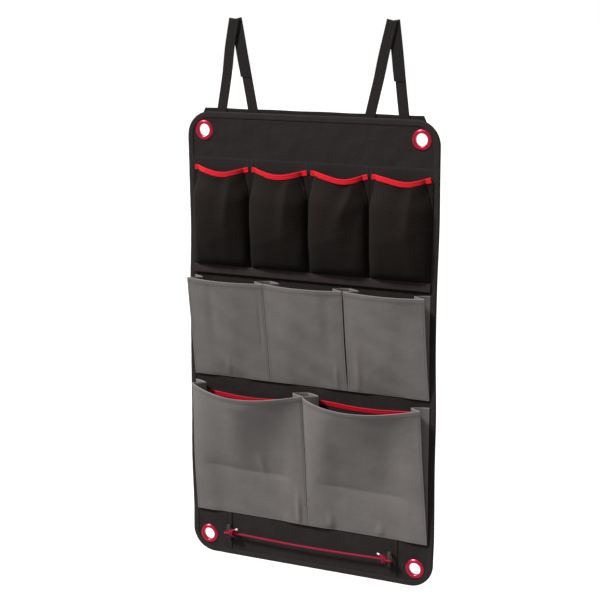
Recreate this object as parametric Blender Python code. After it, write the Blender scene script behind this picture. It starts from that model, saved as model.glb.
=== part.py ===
"""Hanging pocket organizer for a camper wall or awning, built from its sewn pieces.

Metres, +Z up, front towards -Y, +X to the viewer's right. The origin is the line on which a bar or two hooks
carry the hangers, so the panel hangs below it. The panel's rear face lies on y = 0, and the depth of a piece
is counted forwards from that face.
"""

import math

import bmesh
import bpy
from mathutils import Matrix, Vector

# Clearance between pieces that touch, and around what is sewn round a rim
SEAM_GAP = 0.0003
TRIM_GAP = 0.0006

# Back panel and the binding folded over its edge
PANEL_WIDTH = 0.504
PANEL_THICKNESS = 0.003
PANEL_CORNER_RADIUS = 0.045
BINDING_FLANGE = 0.010
BINDING_THICKNESS = 0.0008
CORNER_SEGMENTS = 7

# Heights of the zones on the panel, from its top edge down
HEADER_HEIGHT = 0.084
MOUTH_RECESS = 0.015
MESH_POCKET_HEIGHT = 0.190
MESH_TAPE_HEIGHT = 0.016
MIDDLE_ROW_GAP = 0.004
MIDDLE_POCKET_HEIGHT = 0.197
LARGE_ROW_GAP = 0.010
LARGE_POCKET_HEIGHT = 0.266
FOOT_HEIGHT = 0.086

# Eyelets and their washers
EYELET_INSET = 0.034
EYELET_BORE_RADIUS = 0.0115
EYELET_FLANGE_RADIUS = 0.0192
EYELET_WALL = 0.0007
EYELET_DOME = 0.0022
EYELET_SHOULDER_SHARE = 0.85
EYELET_ROLL_WIDTH = 0.0023
EYELET_ROLL_HEIGHT = 0.0010
WASHER_RADIUS = 0.0188
WASHER_THICKNESS = 0.0008
EYELET_SEGMENTS = 24

# Strip behind the top edge
BAND_RISE = 0.0075
BAND_LAP = 0.014
BAND_END_INSET = 0.033
BAND_END_SLANT = 0.010
BAND_THICKNESS = 0.0012

# Mesh row
MESH_POCKET_COUNT = 4
LINING_THICKNESS = 0.0008
MESH_THICKNESS = 0.0012
MESH_SEAM_FLANGE = 0.0038
MESH_BULGE = 0.025
MESH_MOUTH_BULGE = 0.017
MESH_SIDE_POWER = 0.6
MOUTH_ACROSS_POWER = 1.0
MOUTH_SWELL_POWER = 2.0
MESH_FOOT_SHARE = 0.22
MOUTH_START_SHARE = 0.55
MESH_ARC_STEPS = 12
MESH_ROWS = 9
TRIM_HEIGHT = 0.0100
TRIM_THICKNESS = 0.0020
TRIM_DIP = 0.010
TRIM_FLAT_END = 0.007
TAPE_THICKNESS = 0.0010
TAPE_LAP = 0.009

# Grey bellows pockets
CLOTH_THICKNESS = 0.0010
GUSSET_THICKNESS = 0.0008
GUSSET_LEAF = 0.029
GUSSET_ROWS = 6
GUSSET_SIDE_CLEARANCE = 0.0012
GUSSET_SPLITS = (False, True, True, True, False, True, True)
FOLD_RUN_IN = 1.5
FOLD_STACK_STEP = 0.0011
MIDDLE_POCKET_COUNT = 3
MIDDLE_MOUTH_DEPTH = 0.029
MIDDLE_MOUTH_BOW = 0.007
MIDDLE_MOUTH_DIP = 0.002
MIDDLE_SIDE_DROP = 0.003
LARGE_POCKET_COUNT = 2
LARGE_MOUTH_DEPTH = 0.026
LARGE_MOUTH_BOW = 0.027
LARGE_MOUTH_DIP = 0.014
LARGE_SIDE_DROP = 0.003
LARGE_END_DRAW_IN = 0.008
MIDDLE_COLUMNS = 8
LARGE_COLUMNS = 12
MIDDLE_ROWS = 8
LARGE_ROWS = 12

# Folds in the large fronts: an upright hollow below the mouth and a slanting crease across the lower half
HOLLOW_PLACE = 0.72
HOLLOW_WIDTH = 0.15
HOLLOW_DEPTH = 0.008
HOLLOW_FOOT = (0.3, 0.65)
HOLLOW_HEAD = (0.75, 1.0)
CREASE_HEIGHT = 0.36
CREASE_SLANT = 0.06
CREASE_WIDTH = 0.07
CREASE_RISE = 0.004

# Inner pockets behind the large mouths
INNER_TOP_DROP = 0.017
INNER_POCKET_HEIGHT = 0.150
INNER_BULGE = 0.011
INNER_DIP = 0.004
INNER_TRIM_HEIGHT = 0.008
INNER_TRIM_THICKNESS = 0.0016
INNER_CLOTH_THICKNESS = 0.0008
INNER_SIDE_LAP = 0.003
INNER_COLUMNS = 12
INNER_ROWS = 4

# Cord, its anchor tapes and loops
CORD_RADIUS = 0.0020
CORD_DROP = 0.039
CORD_SAG = 0.003
CORD_KNOT_RADIUS = 0.0044
ANCHOR_TAPE_INSET = 0.077
ANCHOR_TAPE_WIDTH = 0.016
ANCHOR_TAPE_THICKNESS = 0.0010
LOOP_WIDTH = 0.006
LOOP_THICKNESS = 0.0010
LOOP_HALF_HEIGHT = 0.012
LOOP_REACH = 0.016
LOOP_INSET = 0.005
LOOP_STEPS = 16
CORD_TIP_LENGTH = 0.005
CORD_TIP_RADIUS = 0.0024
CORD_RUNS = 12

# Points of a cord end, counted inwards from its loop's middle: the knot in line, then the tail with its
# set-back and its rise
KNOT_RUN = (0.016, 0.011, 0.006)
TAIL_RUN = ((0.004, 0.0, 0.001), (0.009, 0.0, 0.005), (0.014, 0.001, 0.008), (0.018, 0.002, 0.009))

# Hangers: each an upturned V of two webbing legs that meet with hook-and-loop
WEBBING_WIDTH = 0.020
WEBBING_THICKNESS = 0.0015
HANGER_INSET = 0.0705
HANGER_LEG_SPREAD = 0.063
HANGER_PEAK_INSET = 0.095
HANGER_LEAN_BACK = 0.010
HANGER_END_RISE = 0.172
HANGER_CROSSING_RISE = 0.181
HANGER_HINGE_RISE = 0.0105
HANGER_ROOT_LAP = 0.012
ROOT_TIP_SHARE = 0.25
ROOT_TIP_LENGTH = 0.0006
PATCH_THICKNESS = 0.0012
PATCH_SIDE_MARGIN = 0.0008
HOOK_PATCH_LENGTH = 0.028
LOOP_PATCH_LENGTH = 0.106
FRONT_LEG_BEND_RISE = 0.130

# What the driving sizes give
PANEL_HEIGHT = (
    HEADER_HEIGHT + MOUTH_RECESS + MESH_POCKET_HEIGHT + MESH_TAPE_HEIGHT + MIDDLE_ROW_GAP
    + MIDDLE_POCKET_HEIGHT + LARGE_ROW_GAP + LARGE_POCKET_HEIGHT + FOOT_HEIGHT
)
LEG_RUN = HANGER_CROSSING_RISE - HANGER_HINGE_RISE
CROTCH_RISE = HANGER_CROSSING_RISE - LEG_RUN * WEBBING_WIDTH / HANGER_LEG_SPREAD
PANEL_TOP = -CROTCH_RISE
PANEL_MIDDLE = PANEL_TOP - PANEL_HEIGHT / 2

LINING_TOP = PANEL_TOP - HEADER_HEIGHT
MESH_MOUTH = LINING_TOP - MOUTH_RECESS
MESH_BOTTOM = MESH_MOUTH - MESH_POCKET_HEIGHT
MESH_TAPE_BOTTOM = MESH_BOTTOM - MESH_TAPE_HEIGHT
MIDDLE_MOUTH = MESH_TAPE_BOTTOM - MIDDLE_ROW_GAP
MIDDLE_BOTTOM = MIDDLE_MOUTH - MIDDLE_POCKET_HEIGHT
LARGE_MOUTH = MIDDLE_BOTTOM - LARGE_ROW_GAP
LARGE_BOTTOM = LARGE_MOUTH - LARGE_POCKET_HEIGHT
PANEL_BOTTOM = PANEL_TOP - PANEL_HEIGHT
CORD_HEIGHT = LARGE_BOTTOM - CORD_DROP

ROW_HALF_WIDTH = PANEL_WIDTH / 2 - BINDING_FLANGE - SEAM_GAP
BAND_HALF_WIDTH = PANEL_WIDTH / 2 - BAND_END_INSET
ANCHOR_TAPE_X = PANEL_WIDTH / 2 - ANCHOR_TAPE_INSET
HANGER_OUTER_X = PANEL_WIDTH / 2 - HANGER_INSET
HANGER_INNER_X = HANGER_OUTER_X - HANGER_LEG_SPREAD
HANGER_PEAK_X = PANEL_WIDTH / 2 - HANGER_PEAK_INSET
FACE = PANEL_THICKNESS + SEAM_GAP
LINING_FACE = FACE + LINING_THICKNESS + SEAM_GAP
INNER_FACE = FACE + INNER_CLOTH_THICKNESS + SEAM_GAP
BARREL_RADIUS = EYELET_BORE_RADIUS + EYELET_WALL
PANEL_HOLE_RADIUS = BARREL_RADIUS / math.cos(math.pi / EYELET_SEGMENTS) + SEAM_GAP
TAPE_LAYER = BINDING_THICKNESS + 2 * SEAM_GAP
BAND_LAYER = TAPE_LAYER + WEBBING_THICKNESS + SEAM_GAP
HINGE_Z = PANEL_TOP + HANGER_HINGE_RISE
HINGE_Y = TAPE_LAYER + WEBBING_THICKNESS / 2
SIDES = (("left", -1), ("right", 1))


def srgb(red, green, blue):
    """Turn 8-bit screen colours into Blender's linear colour."""
    channels = []
    for value in (red, green, blue):
        share = value / 255
        channels.append(share / 12.92 if share <= 0.04045 else ((share + 0.055) / 1.055) ** 2.4)
    return (*channels, 1.0)


def make_material(name, colour, roughness, metallic=0.0):
    """A Principled material of one colour."""
    material = bpy.data.materials.new(name)
    material.use_nodes = True
    shader = material.node_tree.nodes["Principled BSDF"]
    shader.inputs["Base Color"].default_value = colour
    shader.inputs["Roughness"].default_value = roughness
    shader.inputs["Metallic"].default_value = metallic
    material.diffuse_color = colour
    return material


def clear_scene():
    """Start from an empty scene."""
    for item in list(bpy.data.objects):
        bpy.data.objects.remove(item, do_unlink=True)


def smooth_share(low, high, value):
    """Go smoothly from 0 at low to 1 at high."""
    share = min(1.0, max(0.0, (value - low) / (high - low)))
    return share * share * (3 - 2 * share)


def mix(first, second, share):
    """Blend two numbers."""
    return first + (second - first) * share


def bell(value, centre, width):
    """A smooth bump of height 1."""
    return math.exp(-(((value - centre) / width) ** 2))


def at(x, depth, z):
    """A point by its depth in front of the panel's rear face."""
    return Vector((x, -depth, z))


def add_object(name, data, material, origin=(0.0, 0.0, 0.0), parent=None):
    """Put a mesh or curve, given in world places, into the scene with its origin where asked."""
    place = Vector(origin)
    data.transform(Matrix.Translation(-place))
    item = bpy.data.objects.new(name, data)
    data.materials.append(material)
    bpy.context.scene.collection.objects.link(item)
    item.location = place
    if parent is not None:
        item.parent = parent
        item.location = place - parent.location
    return item


def finish_mesh(name, shape, smooth_angle=None):
    """Close the bmesh work: outward faces, and smooth shading where asked."""
    bmesh.ops.recalc_face_normals(shape, faces=shape.faces[:])
    data = bpy.data.meshes.new(name)
    shape.to_mesh(data)
    shape.free()
    if smooth_angle is not None:
        data.shade_smooth()
        data.set_sharp_from_angle(angle=math.radians(smooth_angle))
    return data


def add_hinge(name, place):
    """An empty on a hinge line, which carries what turns about it."""
    hinge = bpy.data.objects.new(name, None)
    hinge.empty_display_size = 0.02
    hinge.location = place
    bpy.context.scene.collection.objects.link(hinge)
    return hinge


def loft(
    name, rings, material, closed_path=False, origin=(0.0, 0.0, 0.0), parent=None, smooth_angle=None, splits=None,
):
    """Skin rings of points one after another, with end caps unless the last ring meets the first.

    Where splits is given, it says for each side of the ring which way its quads are cut into triangles.
    """
    shape = bmesh.new()
    loops = [[shape.verts.new(point) for point in ring] for ring in rings]
    pairs = list(zip(loops, loops[1:]))
    if closed_path:
        pairs.append((loops[-1], loops[0]))
    for near, far in pairs:
        for index in range(len(near)):
            after = (index + 1) % len(near)
            corners = (near[index], near[after], far[after], far[index])
            if splits is None:
                shape.faces.new(corners)
                continue
            turned = corners if splits[index] else corners[1:] + corners[:1]
            shape.faces.new((turned[0], turned[1], turned[2]))
            shape.faces.new((turned[0], turned[2], turned[3]))
    if not closed_path:
        shape.faces.new(loops[0])
        shape.faces.new(loops[-1])
    data = finish_mesh(name, shape, smooth_angle)
    return add_object(name, data, material, origin, parent)


def plate(name, outline, rear_depth, front_depth, material):
    """A flat piece: an outline of x and z, from one depth to another."""
    shape = bmesh.new()
    face = shape.faces.new([shape.verts.new(at(x, rear_depth, z)) for x, z in outline])
    raised = bmesh.ops.extrude_face_region(shape, geom=[face])
    moved = [item for item in raised["geom"] if isinstance(item, bmesh.types.BMVert)]
    bmesh.ops.translate(shape, verts=moved, vec=(0.0, rear_depth - front_depth, 0.0))
    return add_object(name, finish_mesh(name, shape), material)


def forward_row(row, thickness):
    """Move a row of points forwards, square to its run as seen from above, and its ends straight forwards."""
    forwards = Vector((0.0, -thickness, 0.0))
    moved = [row[0] + forwards]
    for before, point, after in zip(row, row[1:], row[2:]):
        run = Vector((after.x - before.x, after.y - before.y, 0.0)).normalized()
        moved.append(point + Vector((run.y, -run.x, 0.0)) * thickness)
    moved.append(row[-1] + forwards)
    return moved


def cloth_sheet(name, rear_rows, thickness, material, origin=(0.0, 0.0, 0.0), parent=None):
    """A closed sheet from rows of points on its rear face, bottom row first and each from left to right."""
    shape = bmesh.new()
    rear = [[shape.verts.new(point) for point in row] for row in rear_rows]
    front = [[shape.verts.new(point) for point in forward_row(row, thickness)] for row in rear_rows]
    for grid in (rear, front):
        for lower, upper in zip(grid, grid[1:]):
            for left in range(len(lower) - 1):
                corners = (lower[left], lower[left + 1], upper[left + 1], upper[left])
                shape.faces.new(corners if grid is front else tuple(reversed(corners)))
    last = len(rear) - 1
    for row, lower_first in ((0, True), (last, False)):
        for left in range(len(rear[row]) - 1):
            corners = (rear[row][left], rear[row][left + 1], front[row][left + 1], front[row][left])
            shape.faces.new(corners if lower_first else tuple(reversed(corners)))
    for side, left_first in ((0, True), (-1, False)):
        for row in range(last):
            corners = (rear[row][side], front[row][side], front[row + 1][side], rear[row + 1][side])
            shape.faces.new(corners if left_first else tuple(reversed(corners)))
    data = finish_mesh(name, shape, smooth_angle=50)
    return add_object(name, data, material, origin, parent)


def rounded_rectangle(half_width, half_height, radius, middle_z):
    """Outline of x and z with round corners, anticlockwise as seen from the front."""
    points = []
    corners = ((1, 1, 0), (-1, 1, 90), (-1, -1, 180), (1, -1, 270))
    for side, level, start in corners:
        centre_x = side * (half_width - radius)
        centre_z = middle_z + level * (half_height - radius)
        for step in range(CORNER_SEGMENTS + 1):
            angle = math.radians(start + 90 * step / CORNER_SEGMENTS)
            points.append((centre_x + radius * math.cos(angle), centre_z + radius * math.sin(angle)))
    return points


def eyelet_places():
    """Name and centre of each eyelet."""
    across = PANEL_WIDTH / 2 - EYELET_INSET
    places = []
    for level, z in (("top", PANEL_TOP - EYELET_INSET), ("bottom", PANEL_BOTTOM + EYELET_INSET)):
        for side_name, side in SIDES:
            places.append((f"{level}_{side_name}", side * across, z))
    return places


def make_cutter(name, centre, radius, length):
    """A hidden rod along Y that a Boolean takes away."""
    shape = bmesh.new()
    turn = Matrix.Rotation(math.pi / 2, 4, "X")
    bmesh.ops.create_cone(
        shape, cap_ends=True, segments=EYELET_SEGMENTS, radius1=radius, radius2=radius, depth=length, matrix=turn,
    )
    data = finish_mesh(name, shape)
    cutter = bpy.data.objects.new(name, data)
    cutter.location = centre
    cutter.hide_render = True
    cutter.display_type = "WIRE"
    bpy.context.scene.collection.objects.link(cutter)
    return cutter


def build_panel(cloth):
    """The panel, its four punched holes cut by Booleans."""
    outline = rounded_rectangle(PANEL_WIDTH / 2, PANEL_HEIGHT / 2, PANEL_CORNER_RADIUS, PANEL_MIDDLE)
    panel = plate("back_panel", outline, 0.0, PANEL_THICKNESS, cloth)
    for name, x, z in eyelet_places():
        cutter = make_cutter(f"hole_{name}", at(x, PANEL_THICKNESS / 2, z), PANEL_HOLE_RADIUS, PANEL_THICKNESS * 3)
        punch = panel.modifiers.new(cutter.name, "BOOLEAN")
        punch.operation = "DIFFERENCE"
        punch.object = cutter
    return panel


def build_binding(tape):
    """The folded tape round the edge: a channel swept round the outline."""
    inner = -BINDING_FLANGE
    outer = SEAM_GAP + BINDING_THICKNESS
    front = PANEL_THICKNESS + SEAM_GAP
    section = (
        (inner, front), (inner, front + BINDING_THICKNESS), (outer, front + BINDING_THICKNESS),
        (outer, -SEAM_GAP - BINDING_THICKNESS), (inner, -SEAM_GAP - BINDING_THICKNESS), (inner, -SEAM_GAP),
        (SEAM_GAP, -SEAM_GAP), (SEAM_GAP, front),
    )
    loops = []
    for outward, depth in section:
        outline = rounded_rectangle(
            PANEL_WIDTH / 2 + outward, PANEL_HEIGHT / 2 + outward, PANEL_CORNER_RADIUS + outward, PANEL_MIDDLE,
        )
        loops.append([at(x, depth, z) for x, z in outline])
    rings = [list(ring) for ring in zip(*loops)]
    return loft("edge_binding", rings, tape, closed_path=True)


def build_band(tape):
    """The strip behind the top edge, its ends cut on a slant."""
    low = BAND_HALF_WIDTH + BAND_END_SLANT
    outline = (
        (-low, PANEL_TOP - BAND_LAP), (low, PANEL_TOP - BAND_LAP),
        (BAND_HALF_WIDTH, PANEL_TOP + BAND_RISE), (-BAND_HALF_WIDTH, PANEL_TOP + BAND_RISE),
    )
    return plate("top_band", outline, -BAND_LAYER, -BAND_LAYER - BAND_THICKNESS, tape)


def build_eyelets(red_metal, steel):
    """Each eyelet is turned from one profile, and rolled over a washer behind the panel."""
    seat = PANEL_THICKNESS + SEAM_GAP
    washer_rear = -SEAM_GAP - WASHER_THICKNESS
    roll_front = washer_rear - SEAM_GAP
    roll_rear = roll_front - EYELET_ROLL_HEIGHT
    crown = (EYELET_BORE_RADIUS + EYELET_FLANGE_RADIUS) / 2
    lip = EYELET_DOME / 4
    shoulder = seat + EYELET_DOME * EYELET_SHOULDER_SHARE
    profile = (
        (EYELET_BORE_RADIUS, seat + lip), (EYELET_BORE_RADIUS, roll_front),
        (EYELET_BORE_RADIUS + EYELET_WALL, roll_rear), (BARREL_RADIUS + EYELET_ROLL_WIDTH * 0.7, roll_rear),
        (BARREL_RADIUS + EYELET_ROLL_WIDTH, roll_front), (BARREL_RADIUS, roll_front), (BARREL_RADIUS, seat),
        (EYELET_FLANGE_RADIUS, seat), (EYELET_FLANGE_RADIUS, seat + lip),
        ((crown + EYELET_FLANGE_RADIUS) / 2, shoulder), (crown, seat + EYELET_DOME),
        ((crown + EYELET_BORE_RADIUS) / 2, shoulder),
    )
    washer_profile = (
        (PANEL_HOLE_RADIUS, -SEAM_GAP), (WASHER_RADIUS, -SEAM_GAP),
        (WASHER_RADIUS, washer_rear), (PANEL_HOLE_RADIUS, washer_rear),
    )
    for name, x, z in eyelet_places():
        turned = (("eyelet", profile, red_metal), ("eyelet_washer", washer_profile, steel))
        for kind, outline, material in turned:
            data = turn_ring(f"{kind}_{name}", outline, x, z)
            add_object(f"{kind}_{name}", data, material, origin=at(x, 0.0, z))


def turn_ring(name, profile, x, z):
    """Spin a closed profile of radius and depth once round an axis along Y."""
    shape = bmesh.new()
    points = [shape.verts.new(at(x + radius, depth, z)) for radius, depth in profile]
    edges = [shape.edges.new((points[index - 1], points[index])) for index in range(len(points))]
    bmesh.ops.spin(
        shape, geom=points + edges, cent=(x, 0.0, z), axis=(0.0, 1.0, 0.0), dvec=(0.0, 0.0, 0.0),
        angle=math.tau, steps=EYELET_SEGMENTS, use_merge=True, use_duplicate=False,
    )
    return finish_mesh(name, shape, smooth_angle=40)


def mesh_pitch():
    """Width that each mesh pocket has between its seams."""
    return 2 * ROW_HALF_WIDTH / MESH_POCKET_COUNT


def bulged_row(half_width, half_bulge, bulge, to_mouth, z, dip):
    """One row of a mesh pocket's rear face: flat seam flanges, and a bulge that is boxy below, soft at the mouth."""
    across_power = mix(MESH_SIDE_POWER, MOUTH_ACROSS_POWER, to_mouth)
    swell_power = mix(MESH_SIDE_POWER, MOUTH_SWELL_POWER, to_mouth)
    row = [at(-half_width, LINING_FACE, z)]
    for step in range(MESH_ARC_STEPS + 1):
        angle = math.pi * (1 - step / MESH_ARC_STEPS)
        across = math.copysign(abs(math.cos(angle)) ** across_power, math.cos(angle))
        swell = max(0.0, math.sin(angle)) ** swell_power
        row.append(at(half_bulge * across, LINING_FACE + bulge * swell, z - dip * swell))
    row.append(at(half_width, LINING_FACE, z))
    return row


def mesh_pocket_rows(half_width):
    """A mesh pocket's rear face, from the lap under the tape up to its trim."""
    wide = half_width - MESH_SEAM_FLANGE
    narrow = half_width - TRIM_FLAT_END
    top = MESH_MOUTH - TRIM_HEIGHT - TRIM_GAP
    rows = []
    for step in range(MESH_ROWS + 1):
        rise = step / MESH_ROWS
        foot = min(1.0, rise / MESH_FOOT_SHARE)
        to_mouth = smooth_share(MOUTH_START_SHARE, 1.0, rise)
        bulge = mix(MESH_BULGE, MESH_MOUTH_BULGE, to_mouth) * math.sqrt(1 - (1 - foot) ** 2)
        half_bulge = mix(wide, narrow, to_mouth)
        z = mix(MESH_BOTTOM, top, rise)
        rows.append(bulged_row(half_width, half_bulge, bulge, to_mouth, z, TRIM_DIP * rise))
    lap = Vector((0.0, 0.0, -TAPE_LAP))
    return [[point + lap for point in rows[0]]] + rows


def elastic_trim_rows(half_width):
    """A trim's rear face over the pocket's mouth, its flat ends stopping short of the seams."""
    rows = []
    for z in (MESH_MOUTH - TRIM_HEIGHT, MESH_MOUTH):
        row = bulged_row(half_width, half_width - TRIM_FLAT_END, MESH_MOUTH_BULGE, 1.0, z, TRIM_DIP)
        row[0].x += MESH_SEAM_FLANGE
        row[-1].x -= MESH_SEAM_FLANGE
        rows.append(row)
    return rows


def build_mesh_pockets(mesh_cloth, red_elastic):
    """The bulging pockets, each with an elastic trim that dips in the middle."""
    half_width = mesh_pitch() / 2 - SEAM_GAP
    for index in range(MESH_POCKET_COUNT):
        centre = Vector((mesh_pitch() * (index + 0.5) - ROW_HALF_WIDTH, 0.0, 0.0))
        pieces = (
            ("mesh_pocket", mesh_pocket_rows(half_width), MESH_THICKNESS, mesh_cloth),
            ("elastic_trim", elastic_trim_rows(half_width), TRIM_THICKNESS, red_elastic),
        )
        for kind, rows, thickness, material in pieces:
            placed = [[point + centre for point in row] for row in rows]
            cloth_sheet(f"{kind}_{index + 1}", placed, thickness, material)


def rectangle(left, right, bottom, top):
    """Outline of a plain rectangle."""
    return ((left, bottom), (right, bottom), (right, top), (left, top))


def build_mesh_row_backing(lining_cloth, tape):
    """The lining behind the mesh row and the tape over its bottom seam."""
    lining = rectangle(-ROW_HALF_WIDTH, ROW_HALF_WIDTH, MESH_TAPE_BOTTOM, LINING_TOP)
    plate("mesh_row_lining", lining, FACE, FACE + LINING_THICKNESS, lining_cloth)
    band = rectangle(-ROW_HALF_WIDTH, ROW_HALF_WIDTH, MESH_TAPE_BOTTOM, MESH_BOTTOM - SEAM_GAP)
    over_mesh = LINING_FACE + MESH_THICKNESS + SEAM_GAP
    plate("mesh_row_tape", band, over_mesh, over_mesh + TAPE_THICKNESS, tape)


class BellowsRow:
    """A row of cloth pockets whose fronts swing out on their bottom seam between folded gussets."""

    def __init__(self, name, pockets, bottom, height, seam_depth, mouth_depth):
        self.name = name
        self.pockets = pockets
        self.bottom = bottom
        self.height = height
        self.rear_leaf = seam_depth + GUSSET_THICKNESS / 2
        self.front_leaf = self.rear_leaf + FOLD_STACK_STEP
        self.front_rear = self.front_leaf + GUSSET_THICKNESS / 2 + SEAM_GAP
        self.mouth_depth = mouth_depth
        self.bow = 0.0
        self.dip = 0.0
        self.side_drop = 0.0
        self.end_draw_in = 0.0
        self.columns = MIDDLE_COLUMNS
        self.rows = MIDDLE_ROWS
        self.folded = False

    def seams(self, index):
        """Left and right seam of one pocket."""
        pitch = 2 * ROW_HALF_WIDTH / self.pockets
        left = -ROW_HALF_WIDTH + pitch * index
        return left, left + pitch

    def sides(self, index, rise):
        """Left and right edge of a pocket's front at a share of its height."""
        left, right = self.seams(index)
        draw = self.end_draw_in * rise
        left_draw = draw if index == 0 else 0.0
        right_draw = draw if index == self.pockets - 1 else 0.0
        return left + SEAM_GAP + left_draw, right - SEAM_GAP - right_draw

    def side_depth(self, rise):
        """Depth of the front's rear face along its side edges."""
        return self.front_rear + self.mouth_depth * rise

    def side_height(self, rise):
        """Height of the side edges, whose cloth leans forwards and so drops a little."""
        return self.bottom + (self.height - self.side_drop) * rise

    def hinge(self):
        """Place of the hinge line, along the bottom seam."""
        return at(0.0, self.front_rear + CLOTH_THICKNESS / 2, self.bottom)

    def fold_share(self, width):
        """Share of a front's width that lies over one folded gusset."""
        return (GUSSET_LEAF + GUSSET_SIDE_CLEARANCE) / width

    def stations(self, width):
        """Shares of the width for a front's columns: two over each folded gusset, the rest even."""
        fold = self.fold_share(width)
        run_in = fold * FOLD_RUN_IN
        middle = [mix(run_in, 1 - run_in, step / self.columns) for step in range(self.columns + 1)]
        return [0.0, fold / 2, fold] + middle + [1 - fold, 1 - fold / 2, 1.0]

    def fold_shape(self, across, rise):
        """The upright hollow and the slanting crease of a large front."""
        if not self.folded:
            return 0.0
        hollow = HOLLOW_DEPTH * bell(across, HOLLOW_PLACE, HOLLOW_WIDTH) * smooth_share(*HOLLOW_FOOT, rise)
        line = CREASE_HEIGHT - CREASE_SLANT * (across - 0.5)
        spread = math.sin(math.pi * across) ** 0.5
        crease = CREASE_RISE * bell(rise, line, CREASE_WIDTH) * spread
        return crease - hollow * (1 - smooth_share(*HOLLOW_HEAD, rise))

    def front_point(self, index, across, rise, width):
        """A point of a front's rear face."""
        left, right = self.sides(index, rise)
        arch = math.sin(math.pi * across)
        fold = self.fold_share(width)
        edge_distance = min(across, 1 - across)
        tuck = (self.front_rear - FACE) * smooth_share(fold, fold * FOLD_RUN_IN, edge_distance)
        depth = self.side_depth(rise) - tuck * (1 - rise) + self.bow * arch * rise
        depth += self.fold_shape(across, rise)
        z = self.side_height(rise) - self.dip * arch * rise ** 3
        return at(mix(left, right, across), depth, z)

    def build_front(self, index, cloth):
        """One pocket front, carried on the hinge line of its bottom seam."""
        left, right = self.seams(index)
        width = right - left
        hinge_place = self.hinge()
        hinge_place.x = (left + right) / 2
        hinge = add_hinge(f"{self.name}_pocket_hinge_{index + 1}", hinge_place)
        rows = []
        for step in range(self.rows + 1):
            rise = step / self.rows
            rows.append([self.front_point(index, across, rise, width) for across in self.stations(width)])
        name = f"{self.name}_pocket_front_{index + 1}"
        cloth_sheet(name, rows, CLOTH_THICKNESS, cloth, origin=hinge_place, parent=hinge)

    def gusset_ring(self, index, side, rise):
        """The V of one gusset at a share of the height, from the seam in to the fold and out to the front."""
        seam_x = self.seams(index)[0 if side < 0 else 1] - side * SEAM_GAP
        front_x = self.sides(index, rise)[0 if side < 0 else 1]
        opening = self.front_leaf - self.rear_leaf + self.mouth_depth * rise
        reach = math.sqrt(GUSSET_LEAF ** 2 - (opening / 2) ** 2)
        fold_x = (seam_x + front_x) / 2 - side * reach
        half = GUSSET_THICKNESS / 2
        rear, front = self.rear_leaf, self.rear_leaf + opening
        fold = (rear + front) / 2
        notch = half / (fold - rear)
        notch_x = mix(fold_x, seam_x, notch)
        z = self.side_height(rise)
        return [
            at(seam_x, rear - half, z), at(fold_x, fold - half, z), at(fold_x, fold + half, z),
            at(front_x, front + half, z), at(front_x, front - half, z), at(notch_x, fold, z),
            at(seam_x, rear + half, z),
        ]

    def build_gussets(self, index, cloth):
        """The two folded gussets of one pocket."""
        for side_name, side in SIDES:
            rings = [self.gusset_ring(index, side, step / GUSSET_ROWS) for step in range(GUSSET_ROWS + 1)]
            loft(f"{self.name}_gusset_{index + 1}_{side_name}", rings, cloth, splits=GUSSET_SPLITS)

    def build(self, cloth):
        """Every pocket of the row."""
        for index in range(self.pockets):
            self.build_front(index, cloth)
            self.build_gussets(index, cloth)


def middle_row():
    """The row of three pockets."""
    row = BellowsRow(
        "middle", MIDDLE_POCKET_COUNT, MIDDLE_BOTTOM, MIDDLE_POCKET_HEIGHT, FACE, MIDDLE_MOUTH_DEPTH,
    )
    row.bow = MIDDLE_MOUTH_BOW
    row.dip = MIDDLE_MOUTH_DIP
    row.side_drop = MIDDLE_SIDE_DROP
    return row


def large_row():
    """The row of two large pockets, whose outer ends are drawn in by the slack mouths."""
    row = BellowsRow(
        "large", LARGE_POCKET_COUNT, LARGE_BOTTOM, LARGE_POCKET_HEIGHT, INNER_FACE, LARGE_MOUTH_DEPTH,
    )
    row.bow = LARGE_MOUTH_BOW
    row.dip = LARGE_MOUTH_DIP
    row.side_drop = LARGE_SIDE_DROP
    row.end_draw_in = LARGE_END_DRAW_IN
    row.columns = LARGE_COLUMNS
    row.rows = LARGE_ROWS
    row.folded = True
    return row


def build_inner_pockets(cloth, red_elastic, row):
    """A flat pocket with a red trim on the panel behind each large mouth."""
    top = LARGE_MOUTH - INNER_TOP_DROP
    bottom = top - INNER_POCKET_HEIGHT
    for index in range(row.pockets):
        left, right = row.seams(index)
        left, right = left + INNER_SIDE_LAP, right - INNER_SIDE_LAP

        def point(step, rise, z, left=left, right=right):
            across = step / INNER_COLUMNS
            swell = math.sin(math.pi * across) ** 2
            return at(mix(left, right, across), FACE + INNER_BULGE * swell * rise, z - INNER_DIP * swell * rise)

        columns = range(INNER_COLUMNS + 1)
        cloth_top = top - INNER_TRIM_HEIGHT - TRIM_GAP
        rows = []
        for level in range(INNER_ROWS + 1):
            rise = level / INNER_ROWS
            rows.append([point(step, rise, mix(bottom, cloth_top, rise)) for step in columns])
        cloth_sheet(f"inner_pocket_{index + 1}", rows, INNER_CLOTH_THICKNESS, cloth)
        trim = [[point(step, 1.0, z) for step in columns] for z in (top - INNER_TRIM_HEIGHT, top)]
        cloth_sheet(f"inner_trim_{index + 1}", trim, INNER_TRIM_THICKNESS, red_elastic)


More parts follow.
